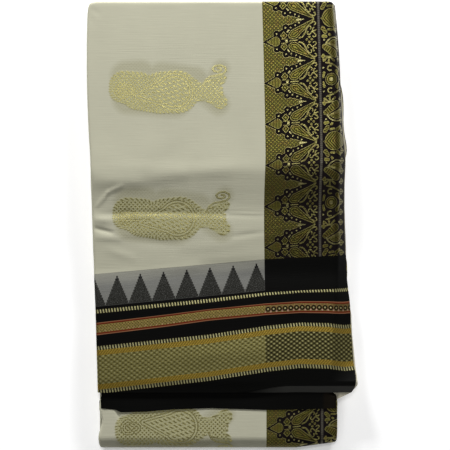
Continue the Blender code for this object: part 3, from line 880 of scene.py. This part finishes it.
def pallu_material():
    """The pallu's bands. down is the distance from its top line, and p that from the joint."""
    draft = silk_material("black_pallu_silk", 0.0, 0.42, 0.05)
    across, down, sheen = draft.attributes("across", "down", "curl")
    p = across - JOINT
    in_body = 1 - p.above(0.0, 0.4)

    # Stepped temples: their half width grows by one step at a time. wrapped() gives the distance
    # to the middle of a repeat, so each temple stands in one's middle.
    step = (TEMPLES[1] - TEMPLES[0]) / TEMPLE_STEPS
    stair = ((down - TEMPLES[0]) / step + 1).math("FLOOR")
    half = stair * (TEMPLE_PITCH / 2 / TEMPLE_STEPS)
    from_axis = (p + TEMPLE_PITCH * 0.85).wrapped(TEMPLE_PITCH)
    temple = (half - from_axis).above(0.35, 0.5) * down.above(TEMPLES[0])
    tip = temple * (1 - down.above(9.0, 1.0))
    in_grey = in_body * down.between(-3.0, TEMPLES[1] + 0.8, 0.5)
    fade = in_grey * down.scaled(-1 / 14, 1.0, clamp=True)
    fleck = (draft.noise(across, down, 1.3, 1.0) - 0.52) * in_grey
    before, past = UPPER_RED[0], LOWER_RED[1]
    peach = greatest(
        down.between(before - 0.9, before - 0.1), down.between(past + 0.2, past + 1.1)
    )
    colour = draft.layered(
        PALLU_BLACK,
        # Painted sheen: the curled free end is painted a lighter grey.
        (sheen, PAINTED_EDGE_SHEEN),
        (in_grey, BAND_GREY),
        (fade * 0.28, IVORY),
        (in_grey * temple, TEMPLE_GREY),
        (in_grey * tip, PALLU_BLACK),
        (fleck.math("MULTIPLY", 0.8, clamp=True), FLECK_GREY),
        (greatest(down.between(*UPPER_RED), down.between(*LOWER_RED)), LINE_RED),
        (peach, LINE_PEACH),
    )

    # Slanted ticks of gold along the ladder and along both edges of the zari band.
    top, bottom = ZARI_BAND
    tick_bands = [LADDER, (top, top + TICK), (bottom - TICK, bottom)]
    in_ticks = greatest(*(down.between(*band, 0.8) for band in tick_bands))
    ticks = in_ticks * down.scaled(-0.18, p).stripes(TICK_PITCH, 1.45, 0.6)

    # The band between the red lines: a row of dark rings, each round a pale bead.
    in_rings = down.between(*RING_BAND)
    ring_down = down - ((RING_BAND[0] + RING_BAND[1]) / 2 + 0.4)
    ring_across = p.wrapped(RING_PITCH)
    from_bead = ring_across.scaled(ring_across, ring_down * ring_down).math("SQRT")
    past_joint = in_body.scaled(-0.7, 1.0)
    bead = (1 - from_bead.above(0.9, 0.5)) * in_rings * past_joint
    hollow = from_bead.between(1.2, 2.9, 0.6) * in_rings
    from_drop = greatest((p + RING_PITCH / 2).wrapped(RING_PITCH), abs(ring_down - 2.6))
    drop = (1 - from_drop.above(0.9, 0.5)) * past_joint
    band_gold = in_rings * (1 - hollow * in_body.scaled(-0.75, 0.95))
    band_gold = band_gold * (1 - dots(p, down, 3.3, 0.9, 0.8) * in_body.scaled(0.5, 0.2))

    # The zari band: pale beads and dark pits in a diagonal lattice, between two pitted strips.
    inner_top, inner_bottom = top + TICK + STRIP, bottom - TICK - STRIP
    strips = greatest(
        down.between(top + TICK, inner_top), down.between(inner_bottom, bottom - TICK)
    )
    strip_pits = down.scaled(0.9, p).stripes(TICK_PITCH, 1.2, 0.9)
    strip_cover = strips * strip_pits.scaled(-0.6, 1.0)
    in_lattice = down.between(inner_top, inner_bottom)
    narrowed = p * (LATTICE_PITCH / RING_PITCH)
    beads = dots(narrowed, down, LATTICE_PITCH, 1.35, 0.9) * in_lattice
    pits = dots(narrowed + LATTICE_PITCH / 2, down, LATTICE_PITCH, 1.15, 0.9)
    pits = pits * in_body.scaled(-0.3, 0.95)
    lattice = in_lattice * (in_body.scaled(0.65, 0.3) * (1 - pits))
    zari = greatest(band_gold, ticks, strip_cover, lattice, beads)
    gold = draft.layered(
        LATTICE_GOLD,
        (greatest(in_ticks, bead), TICK_GOLD),
        (strips, STRIP_GOLD),
        (in_rings * (1 - bead), draft.mix(in_body, BAND_COPPER, BAND_GOLD)),
        (drop * in_rings, DROP_RED),
        (beads, LATTICE_DOT),
    )
    material = finish_silk(draft, colour, across, down, 0.3, zari, gold, 0.15, 0.75)
    draft.fill(draft.shader, {"Roughness": sheen.scaled(-0.3, zari.scaled(-0.3, 0.7))})
    return material


PALLU_SILK = pallu_material()
BOWED_AT = (-145, -60, -15, 41, 88, 120, 138)
LADDER_BOW = (0, 0, 0, 1.5, 3.0, 2.0, 0.9)
RING_BOW = (0.3, 2.0, 3.8, 3.5, 4.0, 2.0, 0)
ZARI_BOW = (0, 0, 0, 2.2, 5.0, 2.5, -1.3)


def weft_bow(x, down):
    """How far the bands are drawn up, in mm, where the cloth was pulled as it was folded: by so
    much each at the ladder, the ring band and the zari band, and softly between them."""
    ladder, rings, zari = (np.interp(x, BOWED_AT, bow) for bow in (LADDER_BOW, RING_BOW, ZARI_BOW))
    bow = ladder * ramp(down, 34.8, 39) + (rings - ladder) * ramp(down, 43, 52)
    return bow + (zari - rings) * ramp(down, 66, 77)


def make_top_pallu():
    part = np.concatenate([np.linspace(0, 0.9, 68), np.linspace(0.9, 1, 20)[1:]])[:, None]
    rim = fold_rim(part_way(seam_along(LEFT_EDGE), FREE_END, part))
    fixed = spaced(FIRST_COLUMN, (JOINT, 2.0), (LAST_COLUMN, 2.0))
    edge = top_at("band", part_way(SEAM_AT_JOINT, FREE_END, part))
    across = side_by_side(rim, fixed, part_way(LAST_COLUMN, edge, np.linspace(0, 1, 14)[1:]))
    seam = seam_along(across)
    along = part_way(seam, FREE_END, part)
    points = top_surface(across, along)
    points[0, :, 2] -= 0.1
    # The free end curls down, more so to the right: its edge catches the light from below.
    # Its colour is also painted a lighter grey there, a painted sheen.
    share = ramp(points[..., 0], 14, 78)
    past_curl = -along - (187.6 - 8.0 * share)
    curl = share * ramp(past_curl, 0, 0.8)
    points[..., 2] -= 0.46 * np.maximum(past_curl, 0) + 1.2 * (1 - share) * ramp(-along, 172, 188)
    down = (seam - along) / (1 + PALLU_FAN * np.maximum(JOINT - across, 0))
    down = down + weft_bow(points[..., 0], down)
    values = {"across": across, "down": down, "curl": curl}
    return add_cloth("top_pallu", points, values, [PALLU_SILK])


top_pallu = make_top_pallu()
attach(top_pallu, "root")
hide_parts("top_panel")

# The second ply of the pallu: the same black silk, folded in beneath the first, which shows as a
# plain strip past the free end and lies down on the panel below.

SECOND_END = table(
    "x y",
    (-138, -205.2),
    (-118, -207.2),
    (-114, -209.8),
    (-86, -209.1),
    (-55, -206.6),
    (-12, -205.2),
    (51, -207.2),
    (130, -205.9),
)
SECOND_START = -97.0  # y, in under the top panel
LOWER_TOP = 21.5  # height of the lower panel's upper face
SLANT_FROM = 84.0  # x from which the packet's bottom end is drawn up to the right
SLANT_END = 130.0
SLANT_RISE = 6.3
WARP_BROWN = (0.0048, 0.0034, 0.0018, 1)


def slanted(points):
    """The points, with the packet's bottom right corner drawn up."""
    x, y, z = np.moveaxis(points, -1, 0)
    reach = np.clip((x - SLANT_FROM) / (SLANT_END - SLANT_FROM), 0, 1.2)
    return np.stack([x, y + SLANT_RISE * reach * ramp(-y, 200, 236), z], axis=-1)


def plain_black_material():
    """Black silk with no pattern, a little brown where the border's warp runs through it."""
    draft = silk_material("plain_black_silk", 0.0, 0.62, 0.05)
    across, along = draft.attributes("across", "along")
    colour = draft.mix(across.above(2.5, 3.0), PALLU_BLACK, WARP_BROWN)
    return finish_silk(draft, colour, across, along, 0.3)


PLAIN_BLACK = plain_black_material()


def make_second_ply():
    part = np.concatenate([np.linspace(0, 0.3, 30)[:-1], np.linspace(0.3, 1, 30)])[:, None]
    left = -135.0 - 2.6 * ramp(-part, -0.22, -0.12)
    right = 130.3 - 11.5 * ramp(part, 0.295, 0.35)
    x = part_way(left, right, np.linspace(0, 1, 120))
    end = np.interp(x, SECOND_END["x"], SECOND_END["y"])
    y = part_way(end, SECOND_START, part**1.3)
    # It lies on the lower panel, rises to run in under the top one, and droops at both its sides.
    under = top_at("height", np.maximum(y, FREE_END)) - 1.6
    settled = LOWER_TOP + 0.75 + 0.25 * np.sin(x / 19) * np.sin(y / 7)
    z = part_way(settled, under, ramp(y, -186, -160))
    drop = 4.0 * ramp(-x, 134.5, 138.5) + 4.0 * ramp(x, 128, 131)
    z = z - drop * ramp(-y, 186, 192) - 6.0 * ramp(x, 120.5, 130.5) * ramp(y, -193, -187)
    points = slanted(np.stack([x, y, z], axis=-1))
    values = {"across": x - 112.0, "along": y}
    return add_cloth("pallu_second_ply_cloth", points, values, [PLAIN_BLACK])


second_ply = make_second_ply()
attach(second_ply, "root")
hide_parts("pallu_second_ply")

# The inner fold: ivory silk of an inner ply, folded double, which shows as a thin pale strip past
# the border's edge and as a small corner below the free end.

INNER_FOLD = table(
    "y right",
    (-189, 143.4),
    (-184, 148.2),
    (-180, 151.9),
    (-174, 152.3),
    (-168, 152.0),
    (-162, 151.1),
    (-153, 150.3),
    (-135, 148.6),
    (-124, 147.5),
    (-110, 146.7),
    (-96, 145.6),
    (-86, 141.0),
    (-76, 134.5),
)


def plain_ivory_material():
    """Ivory silk with no pattern."""
    draft = silk_material("plain_ivory_silk")
    return finish_silk(draft, (0.53, 0.50, 0.39, 1), *draft.attributes("across", "along"))


PLAIN_IVORY = plain_ivory_material()
INNER_TURN = 0.5  # radius at which it is folded double


def make_inner_fold():
    """The ply runs out level, turns down over the shoulder a little inside the border, and folds
    back under itself on a small arc."""
    root, first, last, slant = 113.5, -188.4, -76.0, 14.6
    rim_y = part_way(first, last, np.linspace(0, 1, 76)[:, None])
    root_y = rim_y - slant * (last - rim_y) / (last - first)
    depth = 2.6 + 1.5 * ramp(-rim_y, 160, 184)
    radius = SHOULDER - depth
    rim, shoulder = read_off(INNER_FOLD, "right", rim_y), top_at("shoulder", rim_y)
    length = top_at("line", rim_y) + top_at("band", rim_y) - shoulder
    hang = hang_angle(top_at("selvedge", rim_y) - shoulder, length)
    step = np.linspace(0, 1, 28)
    x, y = part_way(root, rim, step), part_way(root_y, rim_y, step)
    past = np.maximum(x - shoulder, 0)
    bend = np.minimum(np.arcsin(np.clip(past / radius, 0, 0.99)), hang)
    straight = np.maximum(past - radius * np.sin(hang), 0) * np.tan(hang)
    z = top_at("height", rim_y) - depth - radius * (1 - np.cos(bend)) - straight
    z -= 3.0 * ramp(-x, -133, -128) * ramp(-y, 178, 186)
    outer = np.stack([x, y, z], axis=-1)
    turn = np.linspace(0, math.pi, 7)[1:]
    over = INNER_TURN * np.stack([np.sin(turn), 0 * turn, np.cos(turn) - 1], axis=-1)
    lower = outer[:, -2::-3] - np.array([0, 0, 2 * INNER_TURN])
    points = np.concatenate([outer, outer[:, -1:] + over, lower], axis=1)
    values = {"across": points[..., 0], "along": points[..., 1]}
    return add_cloth("inner_fold_cloth", points, values, [PLAIN_IVORY])


inner_fold = make_inner_fold()
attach(inner_fold, "root")
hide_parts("inner_fold")

# The lower panel: the next stretch of field and border, which shows past the pallu's second ply
# and rounds down over the bottom end of the stack to the underside.

LOWER_PANEL = table(
    "y left right",
    (-252, -137.5, 130.0),
    (-239, -138.7, 130.4),
    (-220, -135.0, 130.4),
    (-206, -137.6, 130.4),
    (-197, -137.2, 130.2),
    (-184, -136.6, 121.0),
    (-148, -136.5, 120.0),
)
LOWER_LINE = 113.1  # x of the silver line on the lower panel
BOTTOM_FOLD = -236.7  # y at which the panel begins to round down
LOWER_REACH = 14.3  # how far it rounds out from there
SEAM = -232.0  # y at which the lower panel passes into the underside
BORDER_OUTER = 115.5  # x from which its columns spread out to its edge
LOWER_SPIRE = -228.5  # along: where its spire's tip is
LOWER_MANGO = [(-186.8, -224.0, -1)]


def bottom_path(rows):
    """The lower panel's way in y and z: level, then half an ellipse down to the floor.

    rows is the distance along the cloth, from y = 0 downwards.
    """
    half = LOWER_TOP / 2
    angle = np.linspace(math.pi / 2, -math.pi / 2, 240)
    arc_y, arc_z = BOTTOM_FOLD - LOWER_REACH * np.cos(angle), half * (1 + np.sin(angle))
    path_y = np.concatenate([[-100.0], arc_y, [SEAM]])
    path_z = np.concatenate([[LOWER_TOP], arc_z, [0.0]])
    run = np.concatenate([[0], np.cumsum(np.hypot(np.diff(path_y), np.diff(path_z)))]) + 100.0
    return np.interp(rows, run, path_y), np.interp(rows, run, path_z), run[-1]


def add_lower_cloth(name, points, across, along, mangoes):
    """A stretch of the lower panel's ply: field up to the joint, and border from there on. Its
    rows are taken in reverse, so that the cloth faces outwards."""
    values = {**mango_values(across, along, mangoes), **border_values(across, along, LOWER_SPIRE)}
    values = {key: value[::-1] for key, value in {**values, "along": along}.items()}
    change = int(np.argmin(np.abs(points[0, :, 0] - (LOWER_LINE + JOINT))))
    return add_cloth(name, points[::-1], values, [IVORY_FIELD, GOLD_BORDER], change)


def make_lower_panel():
    total = bottom_path(0)[2]
    rows = spaced(150, (194, 4.0), (236, 0.8), (total - 6, 0.8), (total - 0.3, 2.0))
    y, z, _ = bottom_path(rows)
    tangent_y, tangent_z = np.gradient(y, rows), np.gradient(z, rows)
    size = np.hypot(tangent_y, tangent_z)
    out_y, out_z = (tangent_z / size)[:, None], (-tangent_y / size)[:, None]
    y, z = y[:, None], z[:, None]
    left, right = read_off(LOWER_PANEL, "left", y), read_off(LOWER_PANEL, "right", y)
    joint, last = LOWER_LINE + JOINT, right - FOLD
    stops = [(-123, 2.5), (16, 1.3), (joint, 2.6), (LOWER_LINE - 2.4, 0.7)]
    stops += [(LOWER_LINE + 2.4, 1.2), (BORDER_OUTER, 0.6)]
    x = side_by_side(
        left + FOLD * (1 - np.sin(FOLD_COLUMNS)),
        part_way(left + FOLD, -131, np.linspace(0, 0.7, 3)),
        spaced(-131, *stops),
        part_way(BORDER_OUTER, last, np.linspace(0, 1, 16)[1:]),
        right - FOLD * (1 - np.sin(FOLD_COLUMNS[::-1])),
    )
    # curve is how far the cloth has gone round its side fold: negative at the left.
    middle = np.zeros(x.shape[1] - 2 * len(FOLD_COLUMNS))
    curve = np.hstack([-FOLD * FOLD_COLUMNS, middle, FOLD * FOLD_COLUMNS[::-1]])
    flat_x = np.where(curve < 0, left + FOLD, np.where(curve > 0, last, x))
    rim_depth = FOLD * (1 - np.cos(np.abs(curve) / FOLD))
    # The face is a little puffed, most of all by its side fold, and one pleat runs down in it.
    puff = 0.35 * np.sin(x / 23 + 0.4) * ramp(x, -120, -60) + 0.5 * np.exp(-(((x + 124) / 5) ** 2))
    pleat = -1.3 * np.exp(-(((x + 117 + 0.18 * (y + 206)) / 2.0) ** 2)) * ramp(y, -226, -208)
    lift = (puff + pleat) * ramp(-y, 200, 210) * ramp(y, -250, -236) - rim_depth
    points = slanted(np.stack([x, y + out_y * lift, z + out_z * lift], axis=-1))
    across = flat_x + curve - LOWER_LINE
    along = np.broadcast_to(-rows[:, None], x.shape)
    return add_lower_cloth("lower_panel_cloth", points, across, along, LOWER_MANGO)


lower_panel = make_lower_panel()
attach(lower_panel, "root")
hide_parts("lower_panel")

# The plies in between: all the silk that is folded up inside the packet. Only its rounded folds
# show, at the sides and ends, where they lie in seven loose bundles: ivory at the left, with the
# border's black and gold in some of them at the right, and the pallu's black in the uppermost.

STACK_SIDE = table(
    "y upper lower",
    (-252, 126.0, 126.0),
    (-238, 126.0, 126.0),
    (-228, 127.6, 128.0),
    (-187, 127.6, 129.0),
    (-150, 125.0, 129.5),
    (-110, 125.5, 130.5),
    (-80, 126.5, 132.0),
    (-66, 127.0, 141.6),
    (-50, 127.2, 143.0),
    (-36, 127.2, 141.6),
    (-18, 127.2, 134.0),
    (33, 127.0, 132.5),
    (66, 127.4, 137.0),
    (80, 127.4, 141.8),
    (107, 127.2, 139.6),
    (157, 125.4, 136.0),
    (172, 124.0, 131.5),
    (202, 121.4, 127.5),
    (236, 118.0, 124.5),
    (251, 117.4, 124.0),
)
# From the floor up: where each bundle starts and ends, how far its bulge lies inside the packet's
# outline at the left, right and end, whether it bulges at the right, and how many folds it shows.
BUNDLES = [
    (1.0, 4.2, 2.9, 1.0, 3.0, True, 3),
    (5.9, 9.2, 0.6, 0.2, 0.9, True, 4),
    (9.4, 12.4, 1.5, 1.6, 2.0, False, 3),
    (12.6, 16.0, 0.9, 0.4, 0.5, False, 4),
    (16.2, 18.8, 1.9, 1.4, 2.3, False, 3),
    (19.0, 22.0, 1.2, 7.0, 1.2, False, 3),
    (23.6, 26.5, 1.7, 13.5, 1.8, False, 3),
]
DARK_FOLDS = [4, 5, 8, 11, 12, 15, 16, 19, 21, 22]  # those that show the border at the right
PALLU_FOLDS = 20  # from this fold up, the pallu's black shows past its seam
NOTCH = 3.8  # how far in from the outline the cloth lies between two bundles
GROOVE = 2.4  # how much further in it lies there at the right
FOLDED_IVORY = (0.50, 0.47, 0.36, 1)
PAINTED_GROOVE_SHADE = (0.24, 0.22, 0.15, 1)
STACK_CORNER = 13.0
HALF_LENGTH = 251.0
STACK_TOP = 26.5  # the bundles' heights up to here come up to the cap above them
SETTLED = (5.9, 22.0)  # the heights between which they are squeezed or let out for it


def stack_cap(y):
    """Height of the topmost inner ply: it steps down where the second ply and the lower panel
    come out of the stack."""
    cap = top_at("height", np.clip(y, -188, 251)) - 1.0
    cap -= 1.4 * ramp(-y, -SECOND_START - 3, -SECOND_START)
    return part_way(cap, LOWER_TOP - 0.9, ramp(-y, 147, 150))


def folds_at_height():
    """Rows of the stack's side, one column each: the height, how far out the bundle bulges there,
    how deep the row lies between two folds, the fold's number, and the bundle's own numbers."""
    rows, fold = [], 0
    for base, crown, left, right, end, bulges, folds in BUNDLES:
        parts = np.arange(4 * folds + 1) / (4 * folds)
        parts += np.tile([0, -0.055, 0, 0.055], folds + 1)[: len(parts)] / folds * 2
        depth = np.tile([1.15, 0.2, 0.0, 0.2], folds + 1)[: len(parts)]
        number = fold + np.minimum(np.arange(len(parts)) // 4, folds - 1)
        bulge = np.sin(math.pi * np.clip(parts, 0, 1)) ** 0.5
        for values in zip(part_way(base, crown, parts), bulge, depth, number):
            rows.append([*values, left, right, end, bulges])
        fold += folds
    return np.array(rows, float).T[:, :, None]


def make_folded_layers():
    """The stack's side, as a band all round it: each row is an outline with round corners, drawn
    in or out by its bundle's bulge, by the groove between two folds and by the fold's own wander.
    """
    height, bulge, depth, fold, left_in, right_in, end_in, bulges = folds_at_height()
    top = HALF_LENGTH - NOTCH + (NOTCH - end_in) * bulge
    half = LOWER_TOP / 2
    below = np.clip((height - half) / (half - 1.5), -1, 1)
    bottom = BOTTOM_FOLD - (LOWER_REACH - 1.8) * np.sqrt(1 - below**2)

    # The outline, clockwise from the lower left: each stretch has its count of points.
    side, end, arc = np.linspace(0, 1, 122)[1:-1], np.linspace(0, 1, 58)[1:-1], np.linspace(0, 1, 9)
    low, high = bottom + STACK_CORNER, top - STACK_CORNER

    def side_x(y, right):
        if right:
            upper, lower = read_off(STACK_SIDE, "upper", y), read_off(STACK_SIDE, "lower", y)
            return np.where(bulges > 0, lower, upper) - right_in - GROOVE * (1 - bulge)
        outline = read_off(LOWER_PANEL, "left", np.clip(y, -252, -148))
        fold_x = top_at("fold", np.clip(y, -188, 251))
        outline = part_way(outline, fold_x, ramp(y, -150, -146))
        inset = part_way(NOTCH, left_in, bulge)
        return outline + part_way(inset, NOTCH + 0.6, ramp(-y, 224, 229))

    def corner(centre_y, right, first):
        centre_x = side_x(centre_y, right) + (-STACK_CORNER if right else STACK_CORNER)
        angle = np.radians(first - 90 * arc)
        return centre_x + STACK_CORNER * np.cos(angle), centre_y + STACK_CORNER * np.sin(angle)

    def bridge(a, b):
        x = part_way(a[0][:, -1:], b[0][:, :1], end)
        return x, np.repeat(a[1][:, -1:], len(end), axis=1)

    left_y = part_way(low, high, side)
    right_y = left_y[:, ::-1]
    top_left, top_right = corner(high, False, 180), corner(high, True, 90)
    low_right, low_left = corner(low, True, 0), corner(low, False, -90)
    stretches = [
        (side_x(left_y, False), left_y),
        top_left,
        bridge(top_left, top_right),
        top_right,
        (side_x(right_y, True), right_y),
        low_right,
        bridge(low_right, low_left),
        low_left,
    ]
    x, y = (np.hstack(parts) for parts in zip(*stretches))
    x, y = np.hstack([x, x[:, :1]]), np.hstack([y, y[:, :1]])

    run = np.concatenate([[0], np.cumsum(np.hypot(np.diff(x.mean(0)), np.diff(y.mean(0))))])[None]
    whole = 2 * math.pi / run[0, -1]
    phase = 2.4 * fold
    wander = 0.28 * np.sin(7 * whole * run + phase) + 0.22 * np.sin(17 * whole * run + 1.7 * phase)
    inward = depth + 1.1 * (0.5 + wander) * bulge
    along_x, along_y = np.gradient(x, axis=1), np.gradient(y, axis=1)
    size = np.maximum(np.hypot(along_x, along_y), 1e-6)
    x, y = x + along_y / size * inward, y - along_x / size * inward

    cap = stack_cap(y)
    low, high = SETTLED
    squeeze = (cap - STACK_TOP + high - low) / (high - low)
    settled = height + np.maximum(height - low, 0) * (squeeze - 1)
    z = np.where(height > high, cap - STACK_TOP + height, settled)
    values = {
        "across": np.broadcast_to(run, x.shape),
        "along": np.broadcast_to(height, x.shape) * 3,
        "dark": np.isin(fold, DARK_FOLDS) * ramp(x, 48, 51),
        "black": (fold >= PALLU_FOLDS) * ramp(-y, 36, 39) * (y > -215),
        "depth": np.broadcast_to(depth, x.shape),
    }
    points = slanted(np.stack([x, y, z], axis=-1))
    return add_cloth("folded_layers", points, values, [folded_material()])


def folded_material():
    """Ivory silk seen at its folds, with the border's or the pallu's cloth in some of them, and
    painted shade in the grooves between folds.
    """
    draft = silk_material("folded_ivory_silk")
    across, along, depth = draft.attributes("across", "along", "depth")
    dark, black = draft.attributes("dark", "black")
    gold = draft.noise(across, along, 0.28).above(0.5, 0.05)
    border = draft.mix(gold, BORDER_BLACK, BORDER_GOLD)
    # Rows that lie deep in the grooves between folds are painted darker: painted shade.
    colour = draft.layered(
        FOLDED_IVORY, (depth, PAINTED_GROOVE_SHADE), (dark, border), (black, PALLU_BLACK)
    )
    return finish_silk(draft, colour, across, along)


folded_layers = make_folded_layers()
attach(folded_layers, "root")
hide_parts("hidden_layers")

# The underside: the same ply as the lower panel's, which runs on beneath the whole stack, flat on
# what the packet lies on, and turns up at its side fold and at its end.

UNDER_START = bottom_path(0)[2]  # along: where it takes over from the lower panel
MANGO_PITCH = 146.0  # along: from one mango of the underside to the next


def make_underside():
    turn_line = END_LINE - 1
    rows = spaced(SEAM, (turn_line, 1.15))
    rows = np.concatenate([rows, rows[-1] + FOLD * FOLD_TURN * np.arange(1, 7) / 6])[:, None]
    y = np.minimum(rows, turn_line)
    start = top_at("fold", np.maximum(y, FREE_END)) + 0.8 + FOLD
    right = read_off(STACK_SIDE, "upper", y) + 1.0
    flat_x = side_by_side(
        part_way(start, -130, np.linspace(0, 0.7, 3)),
        spaced(-130, (-124, 2.5), (16, 2.2), (LOWER_LINE + JOINT, 2.6), (112, 1.15)),
        part_way(112, right, np.linspace(0, 1, 12)[1:]),
    )
    columns = FOLD_TURN * np.linspace(1, 0, 7)[:-1]
    base_x = side_by_side(np.repeat(start, len(columns), axis=1), flat_x)
    sides = side_by_side(columns, np.zeros(flat_x.shape))
    ends = np.broadcast_to(np.clip((rows - turn_line) / FOLD, 0, FOLD_TURN), sides.shape)
    over_side, over_end, z = turned_under(sides, ends)
    across = base_x - FOLD * sides - LOWER_LINE
    along = np.broadcast_to(-(UNDER_START + rows - SEAM), sides.shape)
    mangoes = [(-186.8, LOWER_MANGO[0][1] - MANGO_PITCH * k, -1) for k in range(1, 5)]
    points = np.stack([base_x - over_side, y + over_end, z], axis=-1)
    return add_lower_cloth("underside_cloth", points, across, along, mangoes)


underside = make_underside()
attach(underside, "root")
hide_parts("underside_panel")

# The studio: a plain pale floor, two soft key lights past the top end of the packet, a weaker
# lamp high above, a faint fill past the bottom end, and a camera that looks straight down.

PIXEL = 1.12 * MM  # what one pixel of the photograph shows, at the packet's upper face
VIEW_CENTRE = (3.92 * MM, 0.56 * MM, 0.027)
VIEW_HEIGHT = 1.6


def make_stage():
    half = 6.0
    corners = [(-half, -half, 0), (half, -half, 0), (half, half, 0), (-half, half, 0)]
    mesh = bpy.data.meshes.new("floor")
    mesh.from_pydata(corners, [], [(0, 1, 2, 3)])
    floor = into_scene("floor", mesh)
    floor.location.z = -0.0004
    material = bpy.data.materials.new("pale_floor")
    material.use_nodes = True
    inputs = {"Base Color": (0.93, 0.93, 0.93, 1), "Roughness": 0.9}
    inputs |= {"Emission Color": (1, 1, 1, 1), "Emission Strength": 0.3}
    tree = material.node_tree
    Draft(tree).fill(tree.nodes["Principled BSDF"], inputs)
    mesh.materials.append(material)


def add_light(name, location, width, height, power):
    """A rectangular lamp that is aimed at the middle of the packet."""
    lamp = bpy.data.lights.new(name, "AREA")
    lamp.shape = "RECTANGLE"
    lamp.size, lamp.size_y = width, height
    lamp.energy = power
    x, y, z = location
    lamp_object = into_scene(name, lamp)
    lamp_object.location = location
    tilt, heading = math.atan2(math.hypot(x, y), z), math.atan2(-y, -x)
    lamp_object.rotation_euler = (tilt, 0, heading - math.pi / 2)


def make_camera():
    """A camera straight above, whose 450 pixels of height and width show PIXEL each."""
    data = bpy.data.cameras.new("camera")
    camera = into_scene("camera", data)
    camera.location = (VIEW_CENTRE[0], VIEW_CENTRE[1], VIEW_CENTRE[2] + VIEW_HEIGHT)
    data.sensor_width = 36
    data.lens = data.sensor_width * VIEW_HEIGHT / (450 * PIXEL)
    data.clip_start, data.clip_end = 0.05, 50
    bpy.context.scene.camera = camera


make_stage()
add_light("left_key", (-1.09, 2.62, 0.98), 0.9, 0.5, 94)
add_light("right_key", (1.09, 2.62, 0.98), 0.9, 0.5, 94)
add_light("high", (0.0, 0.68, 2.54), 0.4, 0.4, 15)
add_light("fill", (0.25, -2.0, 1.6), 1.0, 0.6, 4)
make_camera()

world = bpy.data.worlds.new("studio")
bpy.context.scene.world = world
world.use_nodes = True
background = world.node_tree.nodes["Background"]
Draft(world.node_tree).fill(background, {"Color": (1, 1, 1, 1), "Strength": 0.06})
bpy.context.scene.view_settings.view_transform = "Standard"
